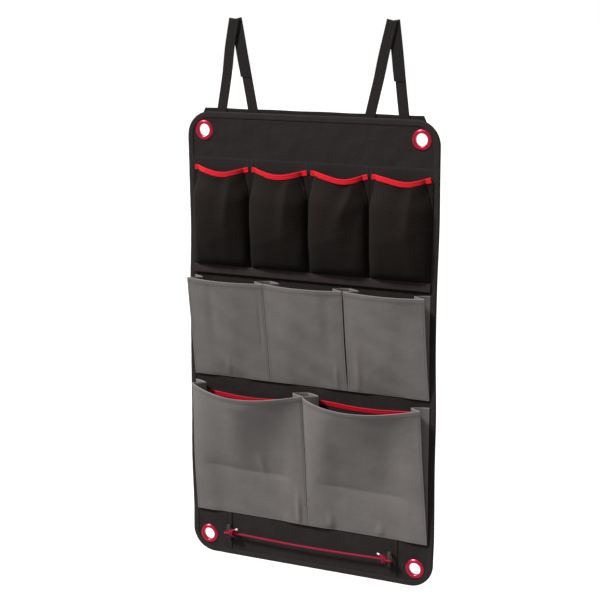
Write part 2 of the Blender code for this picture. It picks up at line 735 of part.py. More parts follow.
def build_anchor(side_name, side, tape):
    """One short tape on the foot and the web loop sewn on it."""
    half = ANCHOR_TAPE_WIDTH / 2
    centre = side * ANCHOR_TAPE_X
    foot = PANEL_BOTTOM + BINDING_FLANGE + SEAM_GAP
    outline = rectangle(centre - half, centre + half, foot, LARGE_BOTTOM - TRIM_GAP)
    front = FACE + ANCHOR_TAPE_THICKNESS
    plate(f"cord_anchor_tape_{side_name}", outline, FACE, front, tape)

    loop_x = side * (ANCHOR_TAPE_X - LOOP_INSET)
    rear = front + SEAM_GAP
    rings = []
    for step in range(LOOP_STEPS):
        angle = math.tau * step / LOOP_STEPS
        forward = (1 - math.cos(angle)) / 2
        upward = math.sin(angle)
        outer = (rear + LOOP_REACH * forward, CORD_HEIGHT + LOOP_HALF_HEIGHT * upward)
        inner_reach = LOOP_REACH - 2 * LOOP_THICKNESS
        inner_half = LOOP_HALF_HEIGHT - LOOP_THICKNESS
        inner = (rear + LOOP_THICKNESS + inner_reach * forward, CORD_HEIGHT + inner_half * upward)
        ring = [
            at(loop_x + edge * LOOP_WIDTH / 2, depth, z)
            for (depth, z), edges in ((outer, (-1, 1)), (inner, (1, -1))) for edge in edges
        ]
        rings.append(ring)
    loft(f"cord_loop_{side_name}", rings, tape, closed_path=True, smooth_angle=60)


def cord_levels():
    """Depths of the cord inside a web loop's front and in front of it."""
    loop_front = FACE + ANCHOR_TAPE_THICKNESS + SEAM_GAP + LOOP_REACH
    inside = loop_front - LOOP_THICKNESS - SEAM_GAP - CORD_RADIUS
    outside = loop_front + SEAM_GAP + CORD_RADIUS
    return inside, outside


def cord_end_route(side):
    """Route of one cord end, from its knot outwards through the loop, round its front and back to the tip."""
    inside, outside = cord_levels()
    loop_x = ANCHOR_TAPE_X - LOOP_INSET
    turn = (outside - inside) / 2
    edge = loop_x + LOOP_WIDTH / 2 + SEAM_GAP
    route = [(loop_x - inwards, inside, 0.0) for inwards in KNOT_RUN]
    route.append((edge, inside, 0.0))
    for angle in (45, 90, 135):
        reach = turn * math.sin(math.radians(angle))
        depth = inside + turn * (1 - math.cos(math.radians(angle)))
        route.append((edge + reach, depth, 0.0))
    route.append((edge, outside, 0.0))
    route += [(loop_x - inwards, outside - back, rise) for inwards, back, rise in TAIL_RUN]
    return [at(side * x, depth, CORD_HEIGHT + rise) for x, depth, rise in route]


def build_cord(red_cord, steel):
    """The elastic cord: one tube, thickened where each end is knotted, with a metal tip on each tail."""
    left = cord_end_route(-1)
    right = cord_end_route(1)
    inside = cord_levels()[0]
    start, end = left[0].x, right[0].x
    middle = []
    for step in range(1, CORD_RUNS):
        share = step / CORD_RUNS
        sag = CORD_SAG * math.sin(math.pi * share)
        middle.append(at(mix(start, end, share), inside, CORD_HEIGHT - sag))
    points = list(reversed(left)) + middle + right
    knots = (len(left) - 2, len(left) + len(middle) + 1)

    curve = bpy.data.curves.new("bungee_cord", "CURVE")
    curve.dimensions = "3D"
    curve.bevel_depth = CORD_RADIUS
    curve.bevel_resolution = 2
    curve.render_resolution_u = 0
    curve.use_fill_caps = True
    spline = curve.splines.new("POLY")
    spline.points.add(len(points) - 1)
    for index, (target, point) in enumerate(zip(spline.points, points)):
        target.co = (*point, 1.0)
        target.radius = CORD_KNOT_RADIUS / CORD_RADIUS if index in knots else 1.0
    add_object("bungee_cord", curve, red_cord)

    for (side_name, _), tail in zip(SIDES, (left, right)):
        along = (tail[-1] - tail[-2]).normalized()
        base = tail[-1] + along * SEAM_GAP
        shape = bmesh.new()
        facing = along.to_track_quat("Z", "Y").to_matrix().to_4x4()
        place = Matrix.Translation(base + along * CORD_TIP_LENGTH / 2) @ facing
        bmesh.ops.create_cone(
            shape, cap_ends=True, segments=10, radius1=CORD_TIP_RADIUS, radius2=CORD_TIP_RADIUS * 0.8,
            depth=CORD_TIP_LENGTH, matrix=place,
        )
        data = finish_mesh(f"cord_tip_{side_name}", shape, smooth_angle=40)
        add_object(f"cord_tip_{side_name}", data, steel)


class Leg:
    """One webbing leg of a hanger: a straight strip that leans inwards to the peak and a little back."""

    def __init__(self, base_x, peak_x):
        self.base_x = base_x
        self.slope = (peak_x - base_x) / LEG_RUN
        self.lean = HANGER_LEAN_BACK / LEG_RUN
        self.along = Vector((self.slope, 0.0, 1.0)).normalized()

    def middle(self, rise):
        """The leg's middle line at a height above the panel's top edge."""
        run = rise - HANGER_HINGE_RISE
        return Vector((self.base_x + self.slope * run, HINGE_Y + self.lean * max(0.0, run), PANEL_TOP + rise))

    def cut(self, rise, half_width, rear, front, square=False):
        """Cut across the leg, level or square to it, with the layer's rear and front counted from its middle."""
        if square:
            across = Vector((self.along.z, 0.0, -self.along.x)) * half_width
        else:
            across = Vector((half_width / self.along.z, 0.0, 0.0))
        centre = self.middle(rise)
        corners = ((-across, rear), (across, rear), (across, front), (-across, front))
        return [centre + shift + Vector((0.0, -depth, 0.0)) for shift, depth in corners]


def knuckle_cuts(leg, half_width, half_thickness):
    """The rounded lower end of a leg, which turns on the hinge line."""
    cuts = []
    for degrees in (80, 40):
        drop = half_thickness * math.sin(math.radians(degrees))
        half_depth = half_thickness * math.cos(math.radians(degrees))
        cuts.append(leg.cut(HANGER_HINGE_RISE - drop, half_width, -half_depth, half_depth))
    cuts.append(leg.cut(HANGER_HINGE_RISE, half_width, -half_thickness, half_thickness))
    return cuts


def build_hanger(side_name, side, webbing, hook_cloth, loop_cloth):
    """One hanger: its rear leg swings on the top seam, and its front leg peels off the rear one."""
    left_x, right_x = sorted((side * HANGER_OUTER_X, side * HANGER_INNER_X))
    peak = side * HANGER_PEAK_X
    front_leg = Leg(left_x, peak)
    rear_leg = Leg(right_x, peak)
    half = WEBBING_WIDTH / 2
    skin = WEBBING_THICKNESS / 2
    hinge = add_hinge(f"hanger_hinge_{side_name}", Vector(((left_x + right_x) / 2, HINGE_Y, HINGE_Z)))
    held = {"origin": hinge.location, "parent": hinge}

    root_top = HANGER_HINGE_RISE - skin - TRIM_GAP
    tip = skin * ROOT_TIP_SHARE
    for leg_name, leg in (("front", front_leg), ("rear", rear_leg)):
        cuts = [
            leg.cut(-HANGER_ROOT_LAP, half, -skin, skin), leg.cut(root_top - ROOT_TIP_LENGTH, half, -skin, skin),
            leg.cut(root_top, half, -tip, tip),
        ]
        loft(f"hanger_root_{side_name}_{leg_name}", cuts, webbing)

    cuts = knuckle_cuts(rear_leg, half, skin) + [rear_leg.cut(HANGER_END_RISE, half, -skin, skin, square=True)]
    loft(f"hanger_rear_tape_{side_name}", cuts, webbing, **held)

    patch_half = half - PATCH_SIDE_MARGIN
    loop_rear = skin + SEAM_GAP
    loop_front = loop_rear + PATCH_THICKNESS
    cuts = [
        rear_leg.cut(HANGER_END_RISE - LOOP_PATCH_LENGTH, patch_half, loop_rear, loop_front),
        rear_leg.cut(HANGER_END_RISE, patch_half, loop_rear, loop_front, square=True),
    ]
    loft(f"loop_patch_{side_name}", cuts, loop_cloth, **held)

    hook_rear = loop_front + SEAM_GAP
    hook_front = hook_rear + PATCH_THICKNESS
    raised = hook_front + SEAM_GAP
    cuts = knuckle_cuts(front_leg, half, skin) + [
        front_leg.cut(FRONT_LEG_BEND_RISE, half, raised, raised + WEBBING_THICKNESS),
        front_leg.cut(HANGER_END_RISE, half, raised, raised + WEBBING_THICKNESS, square=True),
    ]
    loft(f"hanger_front_tape_{side_name}", cuts, webbing, **held)
    cuts = [
        front_leg.cut(HANGER_END_RISE - HOOK_PATCH_LENGTH, patch_half, hook_rear, hook_front),
        front_leg.cut(HANGER_END_RISE, patch_half, hook_rear, hook_front, square=True),
    ]
    loft(f"hook_patch_{side_name}", cuts, hook_cloth, **held)


def build_organizer():
    """Every sub-part with its material."""
    panel_cloth = make_material("panel_cloth", srgb(43, 39, 39), 0.85)
    binding_tape = make_material("binding_tape", srgb(36, 33, 33), 0.8)
    lining_cloth = make_material("lining_cloth", srgb(40, 37, 36), 0.85)
    mesh_cloth = make_material("air_mesh", srgb(26, 24, 23), 0.9)
    grey_cloth = make_material("grey_cloth", srgb(105, 101, 99), 0.8)
    red_elastic = make_material("red_elastic", srgb(222, 30, 40), 0.6)
    dark_red_elastic = make_material("dark_red_elastic", srgb(180, 14, 32), 0.6)
    red_metal = make_material("red_metal", srgb(176, 18, 53), 0.3, 0.9)
    steel = make_material("steel", srgb(200, 200, 204), 0.35, 1.0)
    red_cord = make_material("red_cord", srgb(181, 23, 63), 0.6)
    webbing = make_material("webbing", srgb(46, 42, 42), 0.85)
    hook_cloth = make_material("hook_cloth", srgb(30, 28, 28), 0.95)
    loop_cloth = make_material("loop_cloth", srgb(24, 20, 20), 0.95)

    build_panel(panel_cloth)
    build_binding(binding_tape)
    build_band(webbing)
    build_eyelets(red_metal, steel)
    build_mesh_row_backing(lining_cloth, binding_tape)
    build_mesh_pockets(mesh_cloth, red_elastic)
    middle_row().build(grey_cloth)
    large = large_row()
    large.build(grey_cloth)
    build_inner_pockets(panel_cloth, dark_red_elastic, large)
    for side_name, side in SIDES:
        build_anchor(side_name, side, webbing)
        build_hanger(side_name, side, webbing, hook_cloth, loop_cloth)
    build_cord(red_cord, steel)


clear_scene()
build_organizer()
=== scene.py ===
"""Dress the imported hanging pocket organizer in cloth, mesh, elastic, webbing, metal and cord."""
import logging
import math
from collections.abc import Callable, Iterable, Sequence
from dataclasses import dataclass
from enum import Enum
from functools import partial

import bmesh
import bpy
from mathutils import Matrix, Vector


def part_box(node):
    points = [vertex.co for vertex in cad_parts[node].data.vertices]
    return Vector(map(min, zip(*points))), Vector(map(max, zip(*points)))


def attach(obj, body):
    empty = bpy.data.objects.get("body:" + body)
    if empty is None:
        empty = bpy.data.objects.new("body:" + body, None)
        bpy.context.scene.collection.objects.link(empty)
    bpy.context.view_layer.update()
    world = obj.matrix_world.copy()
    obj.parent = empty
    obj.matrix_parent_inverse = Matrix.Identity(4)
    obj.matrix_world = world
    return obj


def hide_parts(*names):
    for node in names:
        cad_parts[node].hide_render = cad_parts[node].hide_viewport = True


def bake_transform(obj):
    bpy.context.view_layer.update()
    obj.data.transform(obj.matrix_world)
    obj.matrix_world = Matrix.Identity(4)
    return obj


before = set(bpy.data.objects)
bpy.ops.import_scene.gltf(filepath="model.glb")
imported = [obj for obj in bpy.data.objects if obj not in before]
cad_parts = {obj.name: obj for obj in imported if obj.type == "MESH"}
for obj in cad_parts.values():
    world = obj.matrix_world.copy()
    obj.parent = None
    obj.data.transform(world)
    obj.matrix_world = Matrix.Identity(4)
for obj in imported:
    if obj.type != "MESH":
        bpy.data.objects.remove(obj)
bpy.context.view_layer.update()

log = logging.getLogger("organizer")

Place = Callable[[float, float], Vector]
Swell = Callable[[float, float], float]
Layer = Callable[[float], tuple[float, float]]
Colour = tuple[float, float, float, float]
Track = list[tuple[Vector, Vector]]
Item = bpy.types.Object
Material = bpy.types.Material
Socket = bpy.types.NodeSocket

FORWARDS = Vector((0.0, -1.0, 0.0))
BACKWARDS = Vector((0.0, 1.0, 0.0))


class Side(Enum):
    """The two sides of the organizer, with the sign of their x."""

    LEFT = -1
    RIGHT = 1

    @property
    def word(self) -> str:
        """The side's name as the nodes spell it."""
        return self.name.lower()


def screen_colour(red: int, green: int, blue: int) -> Colour:
    """Turn 8-bit screen colours into Blender's linear colour.

    Args:
        red: Red, 0 to 255.
        green: Green, 0 to 255.
        blue: Blue, 0 to 255.

    Returns:
        The linear colour with full alpha.
    """
    shares = [value / 255 for value in (red, green, blue)]
    linear = [share / 12.92 if share <= 0.04045 else ((share + 0.055) / 1.055) ** 2.4 for share in shares]
    return (linear[0], linear[1], linear[2], 1.0)


def mix(first: float, second: float, share: float) -> float:
    """A value between two others."""
    return first + (second - first) * share


def ease(low: float, high: float, value: float) -> float:
    """The share risen at a value, smoothly from 0 at low to 1 at high."""
    share = min(1.0, max(0.0, (value - low) / (high - low)))
    return share * share * (3 - 2 * share)


def bell(value: float, centre: float, width: float) -> float:
    """A smooth hump of height 1 round a centre."""
    return math.exp(-(((value - centre) / width) ** 2))


def at(x: float, depth: float, z: float) -> Vector:
    """A point by its distance in front of the panel's rear face."""
    return Vector((x, -depth, z))


@dataclass(frozen=True)
class Plan:
    """The organizer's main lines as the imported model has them, in metres."""

    half_width: float = 0.252
    top: float = -0.126873
    bottom: float = -0.994873
    corner: float = 0.045
    thickness: float = 0.003
    lining_top: float = -0.210873
    mesh_mouth: float = -0.225873
    mesh_bottom: float = -0.415873
    middle_mouth: float = -0.435873
    middle_bottom: float = -0.632873
    large_mouth: float = -0.642873
    large_bottom: float = -0.908873
    cord_height: float = -0.947873
    row_half_width: float = 0.2417
    face: float = 0.0033
    lining_face: float = 0.0044
    eyelet_x: float = 0.218
    eyelet_top: float = -0.160873
    eyelet_bottom: float = -0.960873
    seam_gap: float = 0.0003

    @property
    def middle(self) -> float:
        """Height of the panel's middle."""
        return (self.top + self.bottom) / 2

    def eyelets(self) -> list[tuple[str, float, float]]:
        """Name, x and height of each eyelet."""
        rows = (("top", self.eyelet_top), ("bottom", self.eyelet_bottom))
        return [(f"{row}_{side.word}", side.value * self.eyelet_x, z) for row, z in rows for side in Side]

    def outline(self, outward: float, step: float) -> list[tuple[float, float, float]]:
        """The panel's rounded outline, moved outwards.

        Args:
            outward: Distance outside the panel's edge, negative for inside.
            step: Rough distance between points.

        Returns:
            x, z and the run along the panel's edge for each point, anticlockwise seen from the front.
        """
        radius, reach = self.corner, self.corner + outward
        wide, high = self.half_width - radius, (self.top - self.bottom) / 2 - radius
        corners = ((wide, high, 0.0), (-wide, high, 90.0), (-wide, -high, 180.0), (wide, -high, 270.0))
        arc = radius * math.pi / 2
        arc_pieces = max(6, round(arc / step))
        points: list[tuple[float, float, float]] = []
        run = 0.0
        for index, (x, z, start) in enumerate(corners):
            level = self.middle + z
            for piece in range(arc_pieces):
                angle = math.radians(start + 90 * piece / arc_pieces)
                points.append((x + reach * math.cos(angle), level + reach * math.sin(angle), run))
                run += arc / arc_pieces
            after_x, after_z, _ = corners[(index + 1) % 4]
            length = abs(after_x - x) + abs(after_z - z)
            angle = math.radians(start + 90)
            side_x, side_z = x + reach * math.cos(angle), level + reach * math.sin(angle)
            pieces = max(1, round(length / step))
            for piece in range(pieces):
                share = piece / pieces
                points.append((side_x + (after_x - x) * share, side_z + (after_z - z) * share, run))
                run += length / pieces
        return points


@dataclass(frozen=True)
class Hang:
    """How the hung cloth departs from its flat drawing: a slow wave down each side edge and a soft ripple."""

    plan: Plan
    edge_wave: float = 0.0016
    ripple: float = 0.0006

    def carry(self, point: Vector) -> Vector:
        """Move a point of the sewn cloth to where it hangs.

        Args:
            point: The point on the flat drawing.

        Returns:
            The point as hung.
        """
        plan = self.plan
        rise = (point.z - plan.bottom) / (plan.top - plan.bottom)
        calm = self.calm(point)
        toward_edge = ease(0.55, 1.0, abs(point.x) / plan.half_width)
        wave = math.sin(7.0 * rise + (0.6 if point.x > 0 else 2.3)) + 0.5 * math.sin(17.0 * rise + 1.1)
        x = point.x + self.edge_wave * wave * toward_edge * calm
        depth = self.ripple * calm * math.sin(31.0 * rise + 9.0 * point.x)
        return Vector((x, point.y + depth, point.z))

    def calm(self, point: Vector) -> float:
        """How free a point is of the eyelets and the ends, from 0 to 1."""
        plan = self.plan
        free = 1.0
        for _, x, z in plan.eyelets():
            free *= ease(0.024, 0.075, math.hypot(point.x - x, point.z - z))
        return free * ease(plan.top + 0.012, plan.top - 0.05, point.z)


def deselect_all() -> None:
    """Leave no object selected or active."""
    for item in bpy.context.selected_objects:
        item.select_set(False)
    bpy.context.view_layer.objects.active = None


def choose(item: Item) -> None:
    """Select one object alone and make it active."""
    deselect_all()
    item.select_set(True)
    bpy.context.view_layer.objects.active = item


def apply_modifiers(item: Item) -> None:
    """Apply every modifier of an object, in order."""
    choose(item)
    for modifier in list(item.modifiers):
        bpy.ops.object.modifier_apply(modifier=modifier.name)


def smooth(item: Item, degrees: float = 40.0) -> None:
    """Shade an object smooth, with sharp edges above an angle."""
    choose(item)
    bpy.ops.object.shade_smooth_by_angle(angle=math.radians(degrees))


def dress(item: Item, material: Material) -> Item:
    """Give an object one material."""
    item.data.materials.clear()
    item.data.materials.append(material)
    return item


def link(name: str, data: bpy.types.ID) -> Item:
    """Make an object of its data and link it to the scene."""
    item = bpy.data.objects.new(name, data)
    bpy.context.scene.collection.objects.link(item)
    return item


def link_mesh(name: str, shape: bmesh.types.BMesh) -> Item:
    """Make an object of a bmesh, which is freed."""
    data = bpy.data.meshes.new(name)
    shape.to_mesh(data)
    shape.free()
    return link(name, data)


def run_along(line: Sequence[Vector]) -> list[float]:
    """The length of a line of points up to each of them."""
    runs = [0.0]
    for before, after in zip(line, line[1:]):
        runs.append(runs[-1] + (after - before).length)
    return runs


@dataclass(frozen=True)
class Sheet:
    """A piece of cloth laid over a surface: a grid whose points follow a place function."""

    name: str
    place: Place
    cells: tuple[int, int]
    thickness: float
    uv_shift: float = 0.0

    def build(self, material: Material) -> Item:
        """Lay the cloth and give it its thickness on the front.

        Args:
            material: The cloth's finish.

        Returns:
            The finished sheet.
        """
        deselect_all()
        columns, rows = self.cells
        bpy.ops.mesh.primitive_grid_add(x_subdivisions=columns, y_subdivisions=rows, size=1.0, calc_uvs=True)
        item = bpy.context.active_object
        item.name = self.name
        mesh = item.data
        mesh.name = self.name
        layer = mesh.uv_layers.active
        layer.name = "UVMap"
        spots = [(vertex.co.x + 0.5, vertex.co.y + 0.5) for vertex in mesh.vertices]
        knots = [(round(across * columns), round(up * rows)) for across, up in spots]
        shares = [column / columns for column in range(columns + 1)]
        grid = [[self.place(across, row / rows) for across in shares] for row in range(rows + 1)]
        across_runs = [run_along(line) for line in grid]
        up_runs = [run_along(line) for line in zip(*grid)]
        for loop in mesh.loops:
            column, row = knots[loop.vertex_index]
            across = across_runs[row][column] - across_runs[row][columns // 2]
            layer.data[loop.index].uv = (across + self.uv_shift, up_runs[column][row])
        # Mark each sheet's top row, which woven cloth paints lighter: partly wear, partly a painted highlight
        # where the edge catches the light.
        rub = mesh.attributes.new("rub", "FLOAT", "POINT")
        for vertex, (column, row) in zip(mesh.vertices, knots):
            vertex.co = grid[row][column]
            rub.data[vertex.index].value = 1.0 if row == rows else 0.0
        body = item.modifiers.new("thickness", "SOLIDIFY")
        body.thickness = self.thickness
        body.offset = 1.0
        body.use_even_offset = True
        apply_modifiers(item)
        smooth(item, 50)
        return dress(item, material)

    def track(self, spots: Iterable[tuple[float, float]]) -> Track:
        """Points on the cloth's front with their normals, for a seam to follow.

        Args:
            spots: Shares across and up the cloth.

        Returns:
            Pairs of a point and the normal there.
        """
        near = 0.004
        found: Track = []
        for across, up in spots:
            left, right = self.place(max(0.0, across - near), up), self.place(min(1.0, across + near), up)
            low, high = self.place(across, max(0.0, up - near)), self.place(across, min(1.0, up + near))
            normal = (right - left).cross(high - low).normalized()
            found.append((self.place(across, up) + normal * self.thickness, normal))
        return found


@dataclass(frozen=True)
class Sweep:
    """A section carried along a path: strap, binding or cord, with its UV in metres along and across."""

    name: str
    centres: Sequence[Vector]
    sections: Sequence[Sequence[Vector]]
    closed_path: bool = False
    degrees: float = 60.0

    def build(self, material: Material) -> Item:
        """Skin the sections.

        Args:
            material: The finish.

        Returns:
            The finished piece.
        """
        shape = bmesh.new()
        layer = shape.loops.layers.uv.new("UVMap")
        rings = [[shape.verts.new(point) for point in section] for section in self.sections]
        first = self.sections[0]
        runs = run_along([*self.centres, self.centres[0]])
        girth = run_along([*first, first[0]])
        count = len(rings)
        for index in range(count if self.closed_path else count - 1):
            near, far = rings[index], rings[(index + 1) % count]
            for spot in range(len(near)):
                after = (spot + 1) % len(near)
                face = shape.faces.new((near[spot], near[after], far[after], far[spot]))
                spots = ((spot, index), (spot + 1, index), (spot + 1, index + 1), (spot, index + 1))
                for loop, (around, along) in zip(face.loops, spots):
                    loop[layer].uv = (girth[around], runs[along])
        if not self.closed_path:
            for ring in (rings[0], rings[-1]):
                shape.faces.new(ring)
        bmesh.ops.recalc_face_normals(shape, faces=shape.faces[:])
        item = link_mesh(self.name, shape)
        smooth(item, self.degrees)
        return dress(item, material)


def tube_sections(path: Sequence[Vector], radius: float, corners: int) -> list[list[Vector]]:
    """Round sections square to a path, turned as little as possible from one to the next.

    Args:
        path: The points the tube follows.
        radius: Its radius.
        corners: Points round each section.

    Returns:
        One ring of points for each point of the path.
    """
    tangents = []
    for index in range(len(path)):
        before, after = path[max(0, index - 1)], path[min(len(path) - 1, index + 1)]
        tangents.append((after - before).normalized())
    reference = Vector((0.0, 0.0, 1.0)) if abs(tangents[0].z) < 0.9 else Vector((1.0, 0.0, 0.0))
    side = tangents[0].cross(reference).normalized()
    rings = []
    for index, (point, tangent) in enumerate(zip(path, tangents)):
        if index:
            turn = tangents[index - 1].rotation_difference(tangent)
            side = (turn @ side).normalized()
        other = tangent.cross(side)
        ring = []
        for corner in range(corners):
            angle = math.tau * corner / corners
            ring.append(point + (side * math.cos(angle) + other * math.sin(angle)) * radius)
        rings.append(ring)
    return rings


def curve_through(points: Sequence[Vector], per_span: int) -> list[Vector]:
    """Round off a route with a smooth curve through all its points.

    Args:
        points: The route.
        per_span: Steps between two points.

    Returns:
        The finer route.
    """
    padded = [points[0] * 2 - points[1], *points, points[-1] * 2 - points[-2]]
    fine = []
    for first, second, third, fourth in zip(padded, padded[1:], padded[2:], padded[3:]):
        for step in range(per_span):
            share = step / per_span
            fine.append(0.5 * (
                2 * second + (third - first) * share
                + (2 * first - 5 * second + 4 * third - fourth) * share ** 2
                + (3 * second - first - 3 * third + fourth) * share ** 3
            ))
    fine.append(points[-1].copy())
    return fine


def turned_piece(name: str, profile: Sequence[tuple[float, float]], segments: int, closed: bool) -> Item:
    """Turn a profile about the Y axis by extruding one circle after another.

    Args:
        name: The piece's name.
        profile: Radius and y of each circle.
        segments: Points round the axis.
        closed: Whether the last circle joins the first, otherwise both ends are capped.

    Returns:
        The turned piece, at the origin.
    """
    deselect_all()
    radius, level = profile[0]
    bpy.ops.mesh.primitive_circle_add(
        vertices=segments, radius=radius, fill_type="NOTHING" if closed else "NGON",
        location=(0.0, level, 0.0), rotation=(math.pi / 2, 0.0, 0.0),
    )
    item = bpy.context.active_object
    item.name = name
    item.data.name = name
    bpy.ops.object.transform_apply(location=True, rotation=True, scale=True)
    bpy.ops.object.mode_set(mode="EDIT")
    bpy.ops.mesh.select_all(action="SELECT")
    steps = list(profile[1:]) + ([profile[0]] if closed else [])
    for next_radius, next_level in steps:
        bpy.ops.mesh.extrude_edges_move(TRANSFORM_OT_translate={"value": (0.0, next_level - level, 0.0)})
        ratio = next_radius / radius
        bpy.ops.transform.resize(value=(ratio, 1.0, ratio), center_override=(0.0, next_level, 0.0))
        radius, level = next_radius, next_level
    if not closed:
        bpy.ops.mesh.edge_face_add()
    bpy.ops.mesh.select_all(action="SELECT")
    bpy.ops.mesh.remove_doubles(threshold=1e-6)
    bpy.ops.mesh.normals_make_consistent(inside=False)
    bpy.ops.object.mode_set(mode="OBJECT")
    return item


@dataclass(frozen=True)
class Stitcher:
    """Lays rows of thread: one small bead modelled once and set along a track."""

    pitch: float = 0.0034
    length: float = 0.0026
    width: float = 0.0006
    sink: float = 0.0001

    def bead(self) -> tuple[list[Vector], list[tuple[int, ...]]]:
        """One stitch along X on its cloth's normal Z: a low arch of thread, thin at both ends.

        Returns:
            Its points and its faces.
        """
        sections = ((-0.5, 0.35), (-0.28, 0.95), (0.0, 1.0), (0.28, 0.95), (0.5, 0.35))
        corners = 6
        points: list[Vector] = []
        faces: list[tuple[int, ...]] = []
        for share, girth in sections:
            arch = self.width * 0.35 * (1 - (2 * share) ** 2)
            for corner in range(corners):
                angle = math.tau * corner / corners
                reach = self.width / 2 * girth
                across, up = reach * math.cos(angle), arch + reach * math.sin(angle)
                points.append(Vector((share * self.length, across, up)))
        for ring in range(len(sections) - 1):
            for corner in range(corners):
                after = (corner + 1) % corners
                near, far = ring * corners, (ring + 1) * corners
                faces.append((near + corner, far + corner, far + after, near + after))
        faces.append(tuple(range(corners)))
        faces.append(tuple(reversed(range((len(sections) - 1) * corners, len(sections) * corners))))
        return points, faces

    def build(self, name: str, tracks: Sequence[Track], material: Material) -> Item:
        """Set stitches along tracks.

        Args:
            name: The piece's name.
            tracks: Lines of points with normals.
            material: The thread.

        Returns:
            All the stitches as one piece.
        """
        bead_points, bead_faces = self.bead()
        points: list[Vector] = []
        faces: list[tuple[int, ...]] = []
        for place in (place for track in tracks for place in self.stations(track)):
            base = len(points)
            points.extend(place @ point for point in bead_points)
            faces.extend(tuple(base + corner for corner in face) for face in bead_faces)
        data = bpy.data.meshes.new(name)
        data.from_pydata([tuple(point) for point in points], [], faces)
        data.shade_smooth()
        return dress(link(name, data), material)

    def stations(self, track: Track) -> list[Matrix]:
        """Where each stitch of a track goes.

        Args:
            track: Points with normals.

        Returns:
            One placing matrix for each stitch.
        """
        found: list[Matrix] = []
        run = 0.0
        next_stitch = self.pitch / 2
        for (point, normal), (after, after_normal) in zip(track, track[1:]):
            span = (after - point).length
            while span > 0 and next_stitch <= run + span:
                share = (next_stitch - run) / span
                along = (after - point).normalized()
                up = normal.lerp(after_normal, share).normalized()
                across = up.cross(along).normalized()
                up = along.cross(across)
                spot = point.lerp(after, share) - up * self.sink
                found.append(Matrix((
                    (along.x, across.x, up.x, spot.x),
                    (along.y, across.y, up.y, spot.y),
                    (along.z, across.z, up.z, spot.z),
                    (0.0, 0.0, 0.0, 1.0),
                )))
                next_stitch += self.pitch
            run += span
        return found


